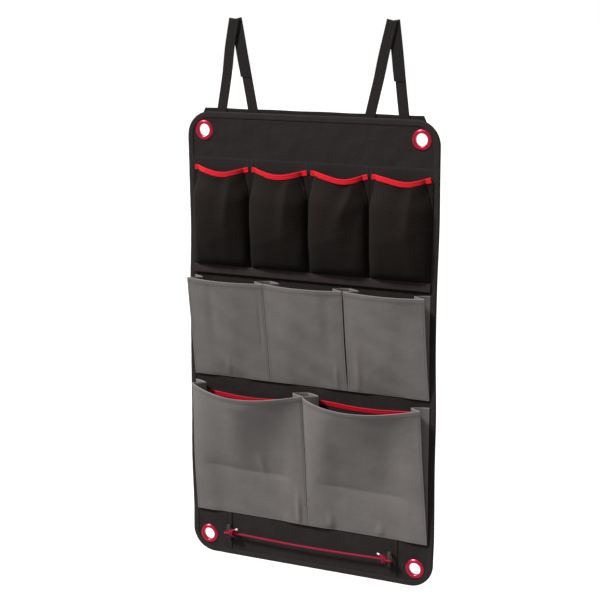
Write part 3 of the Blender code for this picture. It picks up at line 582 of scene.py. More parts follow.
class ShaderSketch:
    """A Principled material's node tree, drawn a few nodes at a time."""

    def __init__(self, name: str) -> None:
        """Start a material of that name."""
        self.material = bpy.data.materials.new(name)
        self.material.use_nodes = True
        self.tree = self.material.node_tree
        self.shader = self.tree.nodes["Principled BSDF"]
        self.bumps: list[bpy.types.Node] = []

    def node(self, kind: str, **settings: object) -> bpy.types.Node:
        """A new node with its settings."""
        made = self.tree.nodes.new(kind)
        for name, value in settings.items():
            setattr(made, name, value)
        return made

    def feed(self, target: Socket, value: object) -> None:
        """Link a socket to another, or set its value."""
        if isinstance(value, Socket):
            self.tree.links.new(value, target)
        else:
            target.default_value = value

    def wired(self, kind: str, **inputs: object) -> bpy.types.Node:
        """A new node with its inputs linked or set."""
        made = self.node(kind)
        for name, value in inputs.items():
            self.feed(made.inputs[name], value)
        return made

    def maths(self, operation: str, *values: object) -> Socket:
        """One Math node.

        Args:
            operation: The node's operation.
            values: As many sockets or numbers as it takes.

        Returns:
            The result's socket.
        """
        made = self.node("ShaderNodeMath", operation=operation)
        for target, value in zip(made.inputs, values):
            self.feed(target, value)
        return made.outputs[0]

    def weigh(self, *parts: tuple[Socket, float], start: float = 0.0) -> Socket:
        """Add up values, each times its weight.

        Args:
            parts: Pairs of a value and its weight.
            start: What is added to them.

        Returns:
            The sum's socket.
        """
        total = start
        for value, weight in parts:
            total = self.maths("MULTIPLY_ADD", value, weight, total)
        return total

    def cloth_place(self) -> Socket:
        """The piece's own UV map, in metres along the cloth."""
        return self.node("ShaderNodeUVMap", uv_map="UVMap").outputs["UV"]

    def solid_place(self) -> Socket:
        """Object coordinates, in metres."""
        return self.node("ShaderNodeTexCoord").outputs["Object"]

    def split(self, vector: Socket) -> list[Socket]:
        """The three parts of a vector."""
        return list(self.wired("ShaderNodeSeparateXYZ", Vector=vector).outputs)

    def stretched(self, vector: Socket, *scale: float) -> Socket:
        """A vector scaled along its axes."""
        return self.wired("ShaderNodeMapping", Vector=vector, Scale=scale).outputs[0]

    def noise(self, vector: Socket, size: float, detail: float = 3.0) -> Socket:
        """Noise with blots of about that size in metres."""
        return self.wired("ShaderNodeTexNoise", Vector=vector, Scale=1.0 / size, Detail=detail).outputs["Fac"]

    def cells(self, vector: Socket, size: float) -> Socket:
        """Distance to the nearest of many scattered points."""
        return self.wired("ShaderNodeTexVoronoi", Vector=vector, Scale=1.0 / size).outputs["Distance"]

    def wave(self, value: Socket, pitch: float) -> Socket:
        """A sine from -1 to 1 that repeats at a pitch in metres."""
        return self.maths("SINE", self.maths("MULTIPLY", value, math.tau / pitch))

    def raised(self, wave: Socket) -> Socket:
        """A wave brought from -1 to 1 into 0 to 1."""
        return self.maths("MULTIPLY_ADD", wave, 0.5, 0.5)

    def plain_weave(self, vector: Socket, pitch: float) -> Socket:
        """The height, from 0 to 1, of threads over and under each other, two to a pitch."""
        across, along, _ = self.split(vector)
        return self.raised(self.maths("MULTIPLY", self.wave(across, pitch), self.wave(along, pitch)))

    def honeycomb(self, vector: Socket, pitch: float) -> Socket:
        """Distance to the nearest centre of a six-sided lattice.

        Args:
            vector: Where on the cloth.
            pitch: Distance between centres.

        Returns:
            The distance in pitches, at most about 0.58.
        """
        tall = math.sqrt(3.0)
        across, along, _ = self.split(vector)
        across, along = self.maths("DIVIDE", across, pitch), self.maths("DIVIDE", along, pitch)
        spans = []
        for shift in (0.0, 0.5):
            x = self.maths("FLOORED_MODULO", self.maths("ADD", across, shift), 1.0)
            y = self.maths("FLOORED_MODULO", self.maths("ADD", along, shift * tall), tall)
            x, y = self.maths("SUBTRACT", x, 0.5), self.maths("SUBTRACT", y, tall / 2)
            spans.append(self.maths("SQRT", self.maths("MULTIPLY_ADD", x, x, self.maths("MULTIPLY", y, y))))
        return self.maths("MINIMUM", *spans)

    def between(
        self, value: Socket, low: float, high: float, first: float = 0.0, last: float = 1.0,
    ) -> Socket:
        """Map a value's range smoothly onto another."""
        made = self.node("ShaderNodeMapRange", interpolation_type="SMOOTHSTEP")
        for target, given in zip(made.inputs, (value, low, high, first, last)):
            self.feed(target, given)
        return made.outputs[0]

    def colours(self, share: Socket, first: object, second: object) -> Socket:
        """A colour between two."""
        made = self.node("ShaderNodeMix", data_type="RGBA")
        for index, value in ((0, share), (6, first), (7, second)):
            self.feed(made.inputs[index], value)
        return made.outputs[2]

    def relief(self, height: Socket, distance: float, strength: float = 1.0) -> None:
        """Raise the surface by a height, on top of the relief so far."""
        made = self.wired("ShaderNodeBump", Strength=strength, Distance=distance, Height=height)
        if self.bumps:
            self.feed(made.inputs["Normal"], self.bumps[-1].outputs[0])
        self.bumps.append(made)
        self.feed(self.shader.inputs["Normal"], made.outputs[0])

    def surface(self, **values: float) -> None:
        """Set the shader's own sockets, with their names' spaces as underscores."""
        for name, value in values.items():
            self.shader.inputs[name.replace("_", " ")].default_value = value

    def finish(
        self, colour: Socket, uneven: Socket, rough: tuple[float, float],
        sheen: tuple[float, float] = (0.0, 0.5), specular: float = 0.5,
    ) -> Material:
        """Wire up the shader.

        Args:
            colour: The base colour.
            uneven: A noise that the roughness follows.
            rough: The least and the most roughness.
            sheen: Weight and roughness of the sheen.
            specular: Strength of the gloss.

        Returns:
            The finished material.
        """
        self.feed(self.shader.inputs["Base Color"], colour)
        self.feed(self.shader.inputs["Roughness"], self.between(uneven, 0.3, 0.7, *rough))
        self.surface(Sheen_Weight=sheen[0], Sheen_Roughness=sheen[1], Specular_IOR_Level=specular)
        return self.material


@dataclass(frozen=True)
class Dyed:
    """What every finish has: a name, and the two colours that it varies between."""

    name: str
    deep: Colour
    bright: Colour

    def dye(self, sketch: ShaderSketch, tone: Socket) -> Socket:
        """The colour at a tone from 0 to 1."""
        return sketch.colours(tone, self.deep, self.bright)


@dataclass(frozen=True)
class WovenCloth(Dyed):
    """Coated plain-weave cloth, slightly uneven in tone and lighter on its top edge, by wear and a painted
    highlight.
    """

    pitch: float = 0.0009
    rough: tuple[float, float] = (0.62, 0.85)
    weave_height: float = 0.00012
    slub_height: float = 0.00025
    cockle_height: float = 0.0012
    gloss: float = 0.04
    # How far the top edge is lightened, by wear and a painted highlight.
    edge_wear: float = 0.6

    def paint(self) -> Material:
        """Draw the material."""
        sketch = ShaderSketch(self.name)
        spot = sketch.cloth_place()
        weave = sketch.plain_weave(spot, self.pitch)
        slubs = sketch.noise(sketch.stretched(spot, 1.0, 6.0, 1.0), 0.009, 4.0)
        mottle = sketch.noise(spot, 0.045, 4.0)
        grain = sketch.noise(spot, 0.0022, 2.0)
        tone = sketch.weigh((weave, 0.35), (mottle, 0.45), (grain, 0.30), start=-0.05)
        # Painted highlight and wear: the top edge tends towards 2.2 times the bright colour.
        rub = sketch.node("ShaderNodeAttribute", attribute_name="rub").outputs["Fac"]
        top_wear_and_highlight_share = sketch.maths("MULTIPLY", sketch.maths("POWER", rub, 2.0), self.edge_wear)
        painted_light = (*(min(1.0, part * 2.2) for part in self.bright[:3]), 1.0)
        sketch.relief(sketch.noise(spot, 0.03), self.cockle_height)
        sketch.relief(slubs, self.slub_height, 0.6)
        sketch.relief(weave, self.weave_height)
        colour = sketch.colours(top_wear_and_highlight_share, self.dye(sketch, tone), painted_light)
        return sketch.finish(colour, slubs, self.rough, (0.02, 0.5), self.gloss)


@dataclass(frozen=True)
class SpacerMesh(Dyed):
    """Two-layer air mesh: small six-sided holes in a knitted face, with painted shade darkening it low down.
    """

    pitch: float = 0.0043
    depth: float = 0.0007
    # Height over which the painted shade at the foot fades out, from the foot up.
    worn_span: tuple[float, float] = (0.03, 0.15)

    def paint(self) -> Material:
        """Draw the material."""
        sketch = ShaderSketch(self.name)
        spot = sketch.cloth_place()
        face = sketch.between(sketch.honeycomb(spot, self.pitch), 0.28, 0.42)
        knit = sketch.noise(sketch.stretched(spot, 2.0, 1.0, 1.0), 0.0012, 2.0)
        mottle = sketch.noise(spot, 0.04)
        # Painted shade: the mesh's tone falls to 0.6 of itself towards its foot.
        painted_light = sketch.between(sketch.split(spot)[1], *self.worn_span, 0.6, 1.0)
        lit = sketch.maths("MULTIPLY", face, painted_light)
        for uneven, slope, floor in ((knit, 0.5, 0.45), (mottle, 0.8, 0.6)):
            lit = sketch.maths("MULTIPLY", lit, sketch.maths("MULTIPLY_ADD", uneven, slope, floor))
        sketch.relief(mottle, 0.0015)
        sketch.relief(face, self.depth)
        sketch.relief(knit, 0.0002, 0.7)
        return sketch.finish(self.dye(sketch, lit), mottle, (0.7, 0.9), (0.01, 0.4), 0.04)


@dataclass(frozen=True)
class RibbedElastic(Dyed):
    """Fold-over elastic: fine ribs across it, a soft groove along it and shiny yarns."""

    rib: float = 0.0012
    groove: float = 0.0034

    def paint(self) -> Material:
        """Draw the material."""
        sketch = ShaderSketch(self.name)
        spot = sketch.cloth_place()
        across, along, _ = sketch.split(spot)
        ribs = sketch.raised(sketch.wave(along, self.rib))
        grooves = sketch.raised(sketch.wave(across, self.groove))
        fuzz = sketch.noise(spot, 0.0016)
        mottle = sketch.noise(spot, 0.02, 2.0)
        tone = sketch.weigh((ribs, 0.3), (fuzz, 0.3), (grooves, 0.25), (mottle, 0.3))
        sketch.relief(grooves, 0.0004, 0.8)
        sketch.relief(ribs, 0.00025)
        return sketch.finish(self.dye(sketch, tone), fuzz, (0.42, 0.62), (0.02, 0.4), 0.1)


@dataclass(frozen=True)
class Webbing(Dyed):
    """Flat woven webbing with a slanting rib that turns at its middle."""

    rib: float = 0.0016
    strip: float = 0.005

    def paint(self) -> Material:
        """Draw the material."""
        sketch = ShaderSketch(self.name)
        spot = sketch.cloth_place()
        across, along, _ = sketch.split(spot)
        folded = sketch.maths("PINGPONG", across, self.strip)
        ribs = sketch.raised(sketch.wave(sketch.maths("ADD", along, folded), self.rib))
        fuzz = sketch.noise(spot, 0.0015)
        tone = sketch.weigh((ribs, 0.45), (fuzz, 0.25), (sketch.noise(spot, 0.02), 0.3))
        sketch.relief(ribs, 0.00035)
        sketch.relief(fuzz, 0.00015, 0.7)
        return sketch.finish(self.dye(sketch, tone), fuzz, (0.65, 0.85), (0.02, 0.4), 0.05)


@dataclass(frozen=True)
class PileTape(Dyed):
    """One face of hook-and-loop tape, as matted loops or as rows of small hooks."""

    height: float
    in_rows: bool = False
    grain: float = 0.0016

    def paint(self) -> Material:
        """Draw the material."""
        sketch = ShaderSketch(self.name)
        spot = sketch.cloth_place()
        clumps = (sketch.honeycomb if self.in_rows else sketch.cells)(spot, self.grain)
        fibres = sketch.noise(sketch.stretched(spot, 3.0, 1.0, 1.0), self.grain * 0.6, 4.0)
        tone = sketch.weigh((fibres, 0.9), (clumps, -0.35))
        sketch.relief(clumps, -self.height)
        sketch.relief(fibres, self.height * 0.6)
        return sketch.finish(self.dye(sketch, tone), fibres, (0.8, 0.98), (0.03, 0.6), 0.05)


@dataclass(frozen=True)
class WornMetal(Dyed):
    """Coloured or bare metal with fine rub marks and uneven gloss."""

    metallic: float
    rough: tuple[float, float]
    coat: float = 0.0

    def paint(self) -> Material:
        """Draw the material."""
        sketch = ShaderSketch(self.name)
        spot = sketch.solid_place()
        marks = sketch.noise(sketch.stretched(spot, 1.0, 1.0, 9.0), 0.004, 5.0)
        sketch.relief(marks, 0.00006, 0.5)
        sketch.surface(Metallic=self.metallic, Coat_Weight=self.coat, Coat_Roughness=0.12)
        return sketch.finish(self.dye(sketch, sketch.noise(spot, 0.006)), marks, self.rough)


@dataclass(frozen=True)
class BraidedCord(Dyed):
    """Elastic cord with a braided cover: two families of yarns that cross."""

    around: float = 0.0021
    along: float = 0.0034

    def paint(self) -> Material:
        """Draw the material."""
        sketch = ShaderSketch(self.name)
        girth, run, _ = sketch.split(sketch.cloth_place())
        turned = sketch.maths("DIVIDE", girth, self.around)
        travelled = sketch.maths("DIVIDE", run, self.along)
        right = sketch.wave(sketch.maths("ADD", turned, travelled), 1.0)
        left = sketch.wave(sketch.maths("SUBTRACT", turned, travelled), 1.0)
        braid = sketch.raised(sketch.maths("MULTIPLY", right, left))
        fuzz = sketch.noise(sketch.solid_place(), 0.0012)
        sketch.relief(braid, 0.0004)
        tone = sketch.weigh((braid, 0.6), (fuzz, 0.4))
        return sketch.finish(self.dye(sketch, tone), fuzz, (0.45, 0.65), (0.02, 0.4), 0.08)


@dataclass(frozen=True)
class Thread(Dyed):
    """Sewing thread with a fine twist."""

    twist: float = 0.0006

    def paint(self) -> Material:
        """Draw the material."""
        sketch = ShaderSketch(self.name)
        spot = sketch.solid_place()
        across, _, up = sketch.split(spot)
        twist = sketch.wave(sketch.maths("ADD", across, up), self.twist)
        fuzz = sketch.noise(spot, 0.0011, 2.0)
        sketch.relief(twist, 0.0001)
        tone = sketch.weigh((twist, 0.2), (fuzz, 1.0))
        return sketch.finish(self.dye(sketch, tone), fuzz, (0.5, 0.7), specular=0.15)


class Finish(Enum):
    """The organizer's finishes."""

    PANEL = "panel_cloth"
    BINDING = "binding_tape"
    # Painted light: a lighter copy of the binding cloth, for the tape under the mesh row.
    TAPE = "row_tape"
    LINING = "lining_cloth"
    MESH = "air_mesh"
    GREY = "grey_cloth"
    RED_ELASTIC = "red_elastic"
    DARK_ELASTIC = "dark_red_elastic"
    RED_METAL = "red_metal"
    STEEL = "steel"
    CORD = "red_cord"
    WEBBING = "webbing"
    # Painted highlight: a lighter copy of the webbing, for the narrow loops.
    LIT_NARROW_WEB = "lit_narrow_web"
    HOOK = "hook_cloth"
    LOOP = "loop_cloth"
    THREAD = "thread"
    GREY_THREAD = "grey_thread"
    RED_THREAD = "red_thread"

    @property
    def slot(self) -> str:
        """The material slot's name, which some finishes share."""
        kin = {
            Finish.THREAD: Finish.PANEL, Finish.GREY_THREAD: Finish.GREY, Finish.TAPE: Finish.BINDING,
            Finish.RED_THREAD: Finish.RED_ELASTIC, Finish.LIT_NARROW_WEB: Finish.WEBBING,
        }
        return kin.get(self, self).value


class Wardrobe:
    """Every finish, painted once."""

    FRONT_LIGHT = 2.9

    def shade(self, red: int, green: int, blue: int) -> Colour:
        """The cloth colour that comes out as a screen colour under the studio's light."""
        return (*(part / self.FRONT_LIGHT for part in screen_colour(red, green, blue)[:3]), 1.0)

    def __init__(self) -> None:
        """Paint the finishes."""
        colour = self.shade
        black = colour(22, 18, 18)
        tape = {"pitch": 0.0012, "cockle_height": 0.0006}
        coated = {"pitch": 0.0007, "rough": (0.5, 0.72), "weave_height": 0.00008, "gloss": 0.15}
        dark_red, lit_red = screen_colour(112, 2, 24), screen_colour(160, 6, 40)
        dark_steel, lit_steel = screen_colour(104, 100, 102), screen_colour(158, 154, 156)
        recipes = {
            Finish.PANEL: WovenCloth("panel_canvas", black, colour(50, 44, 43), cockle_height=0.0028),
            Finish.BINDING: WovenCloth("binding_grosgrain", colour(20, 17, 17), colour(58, 52, 51), **tape),
            # Painted light: the binding cloth made lighter to offset the shadow that the mesh pockets cast on
            # the tape; it shares the binding's slot.
            Finish.TAPE: WovenCloth("row_tape_grosgrain", colour(27, 23, 22), colour(68, 60, 58), **tape),
            Finish.LINING: WovenCloth("lining_canvas", black, colour(50, 45, 44), edge_wear=0.2),
            Finish.MESH: SpacerMesh("spacer_mesh", colour(1, 0, 0), colour(52, 44, 39)),
            Finish.GREY: WovenCloth("grey_coated_cloth", colour(90, 85, 83), colour(124, 119, 117), **coated),
            Finish.RED_ELASTIC: RibbedElastic("red_elastic", colour(190, 0, 16), colour(255, 12, 40)),
            Finish.DARK_ELASTIC: RibbedElastic("dark_red_elastic", colour(135, 0, 18), colour(212, 4, 42)),
            Finish.RED_METAL: WornMetal("red_metal", dark_red, lit_red, 0.85, (0.18, 0.36), 0.12),
            Finish.STEEL: WornMetal("satin_steel", dark_steel, lit_steel, 1.0, (0.40, 0.60)),
            Finish.CORD: BraidedCord("braided_cord", colour(96, 0, 28), colour(196, 0, 58)),
            Finish.WEBBING: Webbing("webbing", colour(17, 14, 14), colour(50, 44, 43)),
            # Painted highlight: the webbing made lighter for the narrow loops; it shares the webbing's slot.
            Finish.LIT_NARROW_WEB: Webbing("lit_narrow_web", colour(34, 28, 28), colour(96, 84, 83), 0.0010, 0.003),
            Finish.HOOK: PileTape("hook_tape", colour(14, 12, 12), colour(44, 40, 40), 0.0004, True),
            Finish.LOOP: PileTape("loop_tape", colour(10, 8, 8), colour(40, 33, 33), 0.0006),
            Finish.THREAD: Thread("black_thread", colour(20, 17, 17), colour(66, 60, 59)),
            Finish.GREY_THREAD: Thread("grey_thread", colour(70, 66, 65), colour(124, 120, 118)),
            Finish.RED_THREAD: Thread("red_thread", colour(150, 0, 14), colour(225, 16, 30)),
        }
        self.painted = {finish: recipe.paint() for finish, recipe in recipes.items()}

    def of(self, finish: Finish) -> Material:
        """The painted finish."""
        return self.painted[finish]


@dataclass
class Workshop:
    """What every sub-assembly is made with."""

    plan: Plan
    hang: Hang
    wardrobe: Wardrobe

    def rear_of(self, node: str) -> float:
        """How far a CAD node's rear stands before the panel's rear face."""
        return -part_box(node)[1][1]

    def over(self, node: str, swell: Swell | None = None) -> tuple[Place, tuple[float, float]]:
        """Lay cloth over a flat CAD node.

        Args:
            node: The node.
            swell: How far the cloth stands out, by its shares across and up.

        Returns:
            The cloth's place function, and the node's width and height.
        """
        low, high = (Vector(end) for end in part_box(node))
        rear = self.rear_of(node)

        def place(across: float, up: float) -> Vector:
            """A point of the cloth."""
            out = swell(across, up) if swell else 0.0
            return self.hang.carry(at(mix(low.x, high.x, across), rear + out, mix(low.z, high.z, up)))

        return place, (high.x - low.x, high.z - low.z)

    def deliver(self, item: Item, finish: Finish, body: str, *nodes: str) -> Item:
        """Fix a finished piece to its body.

        Args:
            item: The piece.
            finish: What it is made of; not used.
            body: The body that carries it.
            nodes: CAD nodes that it stands for.

        Returns:
            The piece.
        """
        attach(item, body)
        if nodes:
            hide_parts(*nodes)
        log.info("%s rides on %s", item.name, body)
        return item

    def make(self, piece: Sheet | Sweep, finish: Finish, body: str, *nodes: str) -> Item:
        """Build a piece in its finish and fix it to its body."""
        return self.deliver(piece.build(self.wardrobe.of(finish)), finish, body, *nodes)

    def bend(
        self, piece: Sheet | Sweep, finish: Finish, bodies: tuple[str, str], span: tuple[Vector, Vector],
        *nodes: str,
    ) -> Item:
        """Build a piece of cloth that spans two bodies, left unparented in world space.

        Args:
            piece: The piece.
            finish: What it is made of.
            bodies: The bodies that it joins.
            span: Where it leaves the first and where it reaches the second; not used.
            nodes: CAD nodes that it stands for.

        Returns:
            The built piece.
        """
        item = piece.build(self.wardrobe.of(finish))
        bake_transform(item)
        if nodes:
            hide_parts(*nodes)
        log.info("%s bends between %s and %s", item.name, *bodies)
        return item

    def sew(
        self, name: str, tracks: Sequence[Track], body: str, finish: Finish = Finish.THREAD,
        stitcher: Stitcher = Stitcher(),
    ) -> None:
        """Lay rows of stitches along tracks, on a body."""
        self.deliver(stitcher.build(name, tracks, self.wardrobe.of(finish)), finish, body)

    def line(self, start: Vector, end: Vector, normal: Vector, steps: int = 60) -> Track:
        """A straight seam over the hung cloth, between two points of the flat drawing."""
        return [(self.hang.carry(start.lerp(end, step / steps)), normal) for step in range(steps + 1)]


@dataclass
class BackPanel:
    """The stiff cloth panel with its punched holes, its edge binding and the strip behind its top edge."""

    shop: Workshop
    cell: float = 0.006
    edge_gap: float = 0.0008
    hole_radius: float = 0.01265
    flange: float = 0.0100
    tape: float = 0.0008
    band_half: float = 0.219
    band_slant: float = 0.010
    band_rise: float = 0.0075
    band_lap: float = 0.014
    band_thickness: float = 0.0012
    pucker: float = 0.0004
    spare: float = 0.01
    step: float = 0.0035
    core: float = 0.0015
    seam_inset: float = -0.0080

    def build(self) -> None:
        """Make the panel and what is sewn round it."""
        self.make_panel()
        self.make_binding()
        self.make_band()
        self.sew_header()
        self.sew_back()

    def make_panel(self) -> None:
        """A gridded sheet, cut to the rounded outline and punched, then hung."""
        plan = self.shop.plan
        flat = (2 * plan.half_width, plan.top - plan.bottom)
        width, height = flat[0] + self.spare, flat[1] + self.spare

        def uncut(across: float, up: float) -> Vector:
            """A point of the uncut cloth."""
            return at(mix(-width / 2, width / 2, across), 0.0, plan.middle + mix(-height / 2, height / 2, up))

        cells = (round(width / self.cell), round(height / self.cell))
        item = Sheet("panel_sheet", uncut, cells, plan.thickness).build(self.shop.wardrobe.of(Finish.PANEL))
        self.cut(item, self.outline_cutter(), "INTERSECT")
        for name, x, z in plan.eyelets():
            profile = ((self.hole_radius, -0.02), (self.hole_radius, 0.02))
            punch = turned_piece(f"punch_{name}", profile, 48, False)
            punch.data.transform(Matrix.Translation((x, 0.0, z)))
            self.cut(item, punch, "DIFFERENCE")
        for vertex in item.data.vertices:
            vertex.co = self.shop.hang.carry(vertex.co)
        smooth(item)
        self.shop.deliver(item, Finish.PANEL, "panel", "back_panel")

    def outline_cutter(self) -> Item:
        """A tall prism of the panel's outline."""
        shape = bmesh.new()
        outline = self.shop.plan.outline(-self.edge_gap, 0.006)
        ring = [shape.verts.new(at(x, -0.03, z)) for x, z, _ in outline]
        face = shape.faces.new(ring)
        raised = bmesh.ops.extrude_face_region(shape, geom=[face])
        moved = [part for part in raised["geom"] if isinstance(part, bmesh.types.BMVert)]
        bmesh.ops.translate(shape, verts=moved, vec=(0.0, -0.06, 0.0))
        bmesh.ops.recalc_face_normals(shape, faces=shape.faces[:])
        return link_mesh("outline_cutter", shape)

    def cut(self, item: Item, cutter: Item, operation: str) -> None:
        """Cut a piece with another, which is then gone."""
        tool = item.modifiers.new("cut", "BOOLEAN")
        tool.operation = operation
        tool.object = cutter
        tool.solver = "EXACT"
        apply_modifiers(item)
        bpy.data.objects.remove(cutter, do_unlink=True)

    def make_binding(self) -> None:
        """The folded tape, swept round the edge, puckered at the corners."""
        plan = self.shop.plan
        front, rear = plan.thickness + plan.seam_gap, -plan.seam_gap
        skin, back = front + self.tape, rear - self.tape
        edge = -self.flange
        section = (
            (edge, front + 0.0001), (edge, skin - 0.0001), (edge + 0.0004, skin), (-0.0060, skin),
            (-0.0030, skin), (-0.0010, skin), (0.0003, front + 0.0004), (0.0010, front - 0.0006),
            (0.0011, self.core), (0.0010, 0.0003), (0.0003, -0.0007), (-0.0010, back), (-0.0030, back),
            (-0.0060, back), (edge + 0.0004, back), (edge, back + 0.0001), (edge, rear - 0.0001),
            (-0.0010, rear), (0.0, 0.0), (0.0003, self.core), (0.0, front - 0.0002), (-0.0010, front),
        )
        loops = []
        for outward, depth in section:
            facing, loop = 1.0 if depth > self.core else -1.0, []
            for x, z, run in plan.outline(outward, self.step):
                bent = self.corner_share(x, z) * ease(-0.003, -0.009, outward)
                flute = math.sin(math.tau * run / 0.0085) * bent
                shift = 0.00015 * math.sin(math.tau * run / 0.031) * max(0.0, facing)
                loop.append(self.shop.hang.carry(at(x, depth + self.pucker * flute * facing + shift, z)))
            loops.append(loop)
        sections = [list(ring) for ring in zip(*loops)]
        sweep = Sweep("binding_tape", [ring[0] for ring in sections], sections, closed_path=True)
        self.shop.make(sweep, Finish.BINDING, "panel", "edge_binding")
        tracks = []
        for depth, normal in ((skin, FORWARDS), (back, BACKWARDS)):
            spots = plan.outline(self.seam_inset, self.step)
            track = [(self.shop.hang.carry(at(x, depth, z)), normal) for x, z, _ in spots]
            tracks.append(track + track[:1])
        self.shop.sew("binding_stitches", tracks, "panel")

    def corner_share(self, x: float, z: float) -> float:
        """How far a point is into one of the four rounded corners."""
        plan = self.shop.plan
        wide = ease(plan.half_width - plan.corner - 0.004, plan.half_width - plan.corner + 0.012, abs(x))
        reach = (plan.top - plan.bottom) / 2 - plan.corner
        return wide * ease(reach - 0.004, reach + 0.012, abs(z - plan.middle))

    def make_band(self) -> None:
        """The strip behind the top edge, its ends cut on a slant."""
        plan = self.shop.plan
        rear = self.shop.rear_of("top_band")
        low, high = plan.top - self.band_lap, plan.top + self.band_rise

        def place(across: float, up: float) -> Vector:
            """A point of the strip."""
            half = self.band_half + self.band_slant * (1 - up)
            x = mix(-half, half, across)
            z = mix(low, high, up) + 0.0003 * math.sin(x * 60.0) * up
            return at(x, rear + 0.0003 * math.sin(x * 37.0 + 1.0) * up, z)

        sheet = Sheet("top_strip", place, (120, 8), self.band_thickness)
        item = self.shop.make(sheet, Finish.WEBBING, "panel", "top_band")
        track = sheet.track([(step / 100, 0.86) for step in range(101)])
        self.shop.sew("top_strip_stitches", [track], "panel")

    def sew_header(self) -> None:
        """Two seams under the top binding, where the strip and the hangers are sewn through."""
        plan = self.shop.plan
        reach = plan.half_width - 0.034
        tracks = []
        for drop in (0.0128, 0.0150):
            left, right = (at(x, plan.thickness, plan.top - drop) for x in (-reach, reach))
            tracks.append(self.shop.line(left, right, FORWARDS, 120))
        self.shop.sew("header_stitches", tracks, "panel")

    def sew_back(self) -> None:
        """The pocket seams as they come through behind."""
        plan = self.shop.plan
        wide = plan.row_half_width - 0.002
        levels = (
            plan.lining_top - 0.003, plan.mesh_bottom - 0.008,
            plan.middle_bottom + 0.004, plan.large_bottom + 0.004,
        )
        tracks = [self.shop.line(at(-wide, 0.0, z), at(wide, 0.0, z), BACKWARDS, 120) for z in levels]
        rows = (
            (4, plan.lining_top, plan.mesh_bottom), (3, plan.middle_mouth, plan.middle_bottom),
            (2, plan.large_mouth, plan.large_bottom),
        )
        for count, high, low in rows:
            for index in range(count + 1):
                x = mix(-wide, wide, index / count)
                tracks.append(self.shop.line(at(x, 0.0, high), at(x, 0.0, low), BACKWARDS))
        self.shop.sew("rear_stitches", tracks, "panel")


def rounded_band(thickness: float, height: float, groove: float) -> list[tuple[float, float]]:
    """The section of a folded elastic: a flat strip with round top and bottom edges.

    Args:
        thickness: Its thickness, front to rear.
        height: Its height.
        groove: Depth of the soft groove along the middle of its front.

    Returns:
        Forward and upward distances from the section's centre.
    """
    half, reach = thickness / 2, height / 2 - thickness / 2
    points = []
    for share in (-1.0, -0.6, -0.25, 0.0, 0.25, 0.6, 1.0):
        points.append((half - groove * bell(share, 0.0, 0.3), reach * share))
    for centre, degrees, flat in ((reach, (35, 90, 145), (1.0, 0.0, -1.0)), (-reach, (215, 270, 325), ())):
        for angle in map(math.radians, degrees):
            points.append((half * math.cos(angle), centre + half * math.sin(angle)))
        points.extend((-half, reach * share) for share in flat)
    return points


def ahead_of(along: Vector) -> Vector:
    """The level direction square to a line from left to right, towards the front."""
    return Vector((along.y, -along.x, 0.0)).normalized()


def elastic_along(name: str, line: Sequence[Vector], section: Sequence[tuple[float, float]]) -> Sweep:
    """Carry an elastic's section along a mouth, upright and square to it.

    Args:
        name: The piece's name.
        line: The elastic's centre line.
        section: Forward and upward distances.

    Returns:
        The sweep, not yet built.
    """
    sections = []
    for index, point in enumerate(line):
        before, after = line[max(0, index - 1)], line[min(len(line) - 1, index + 1)]
        along = (after - before).normalized()
        forward = ahead_of(along)
        upward = forward.cross(along) * -1.0
        sections.append([point + forward * ahead + upward * up for ahead, up in section])
    return Sweep(name, list(line), sections)


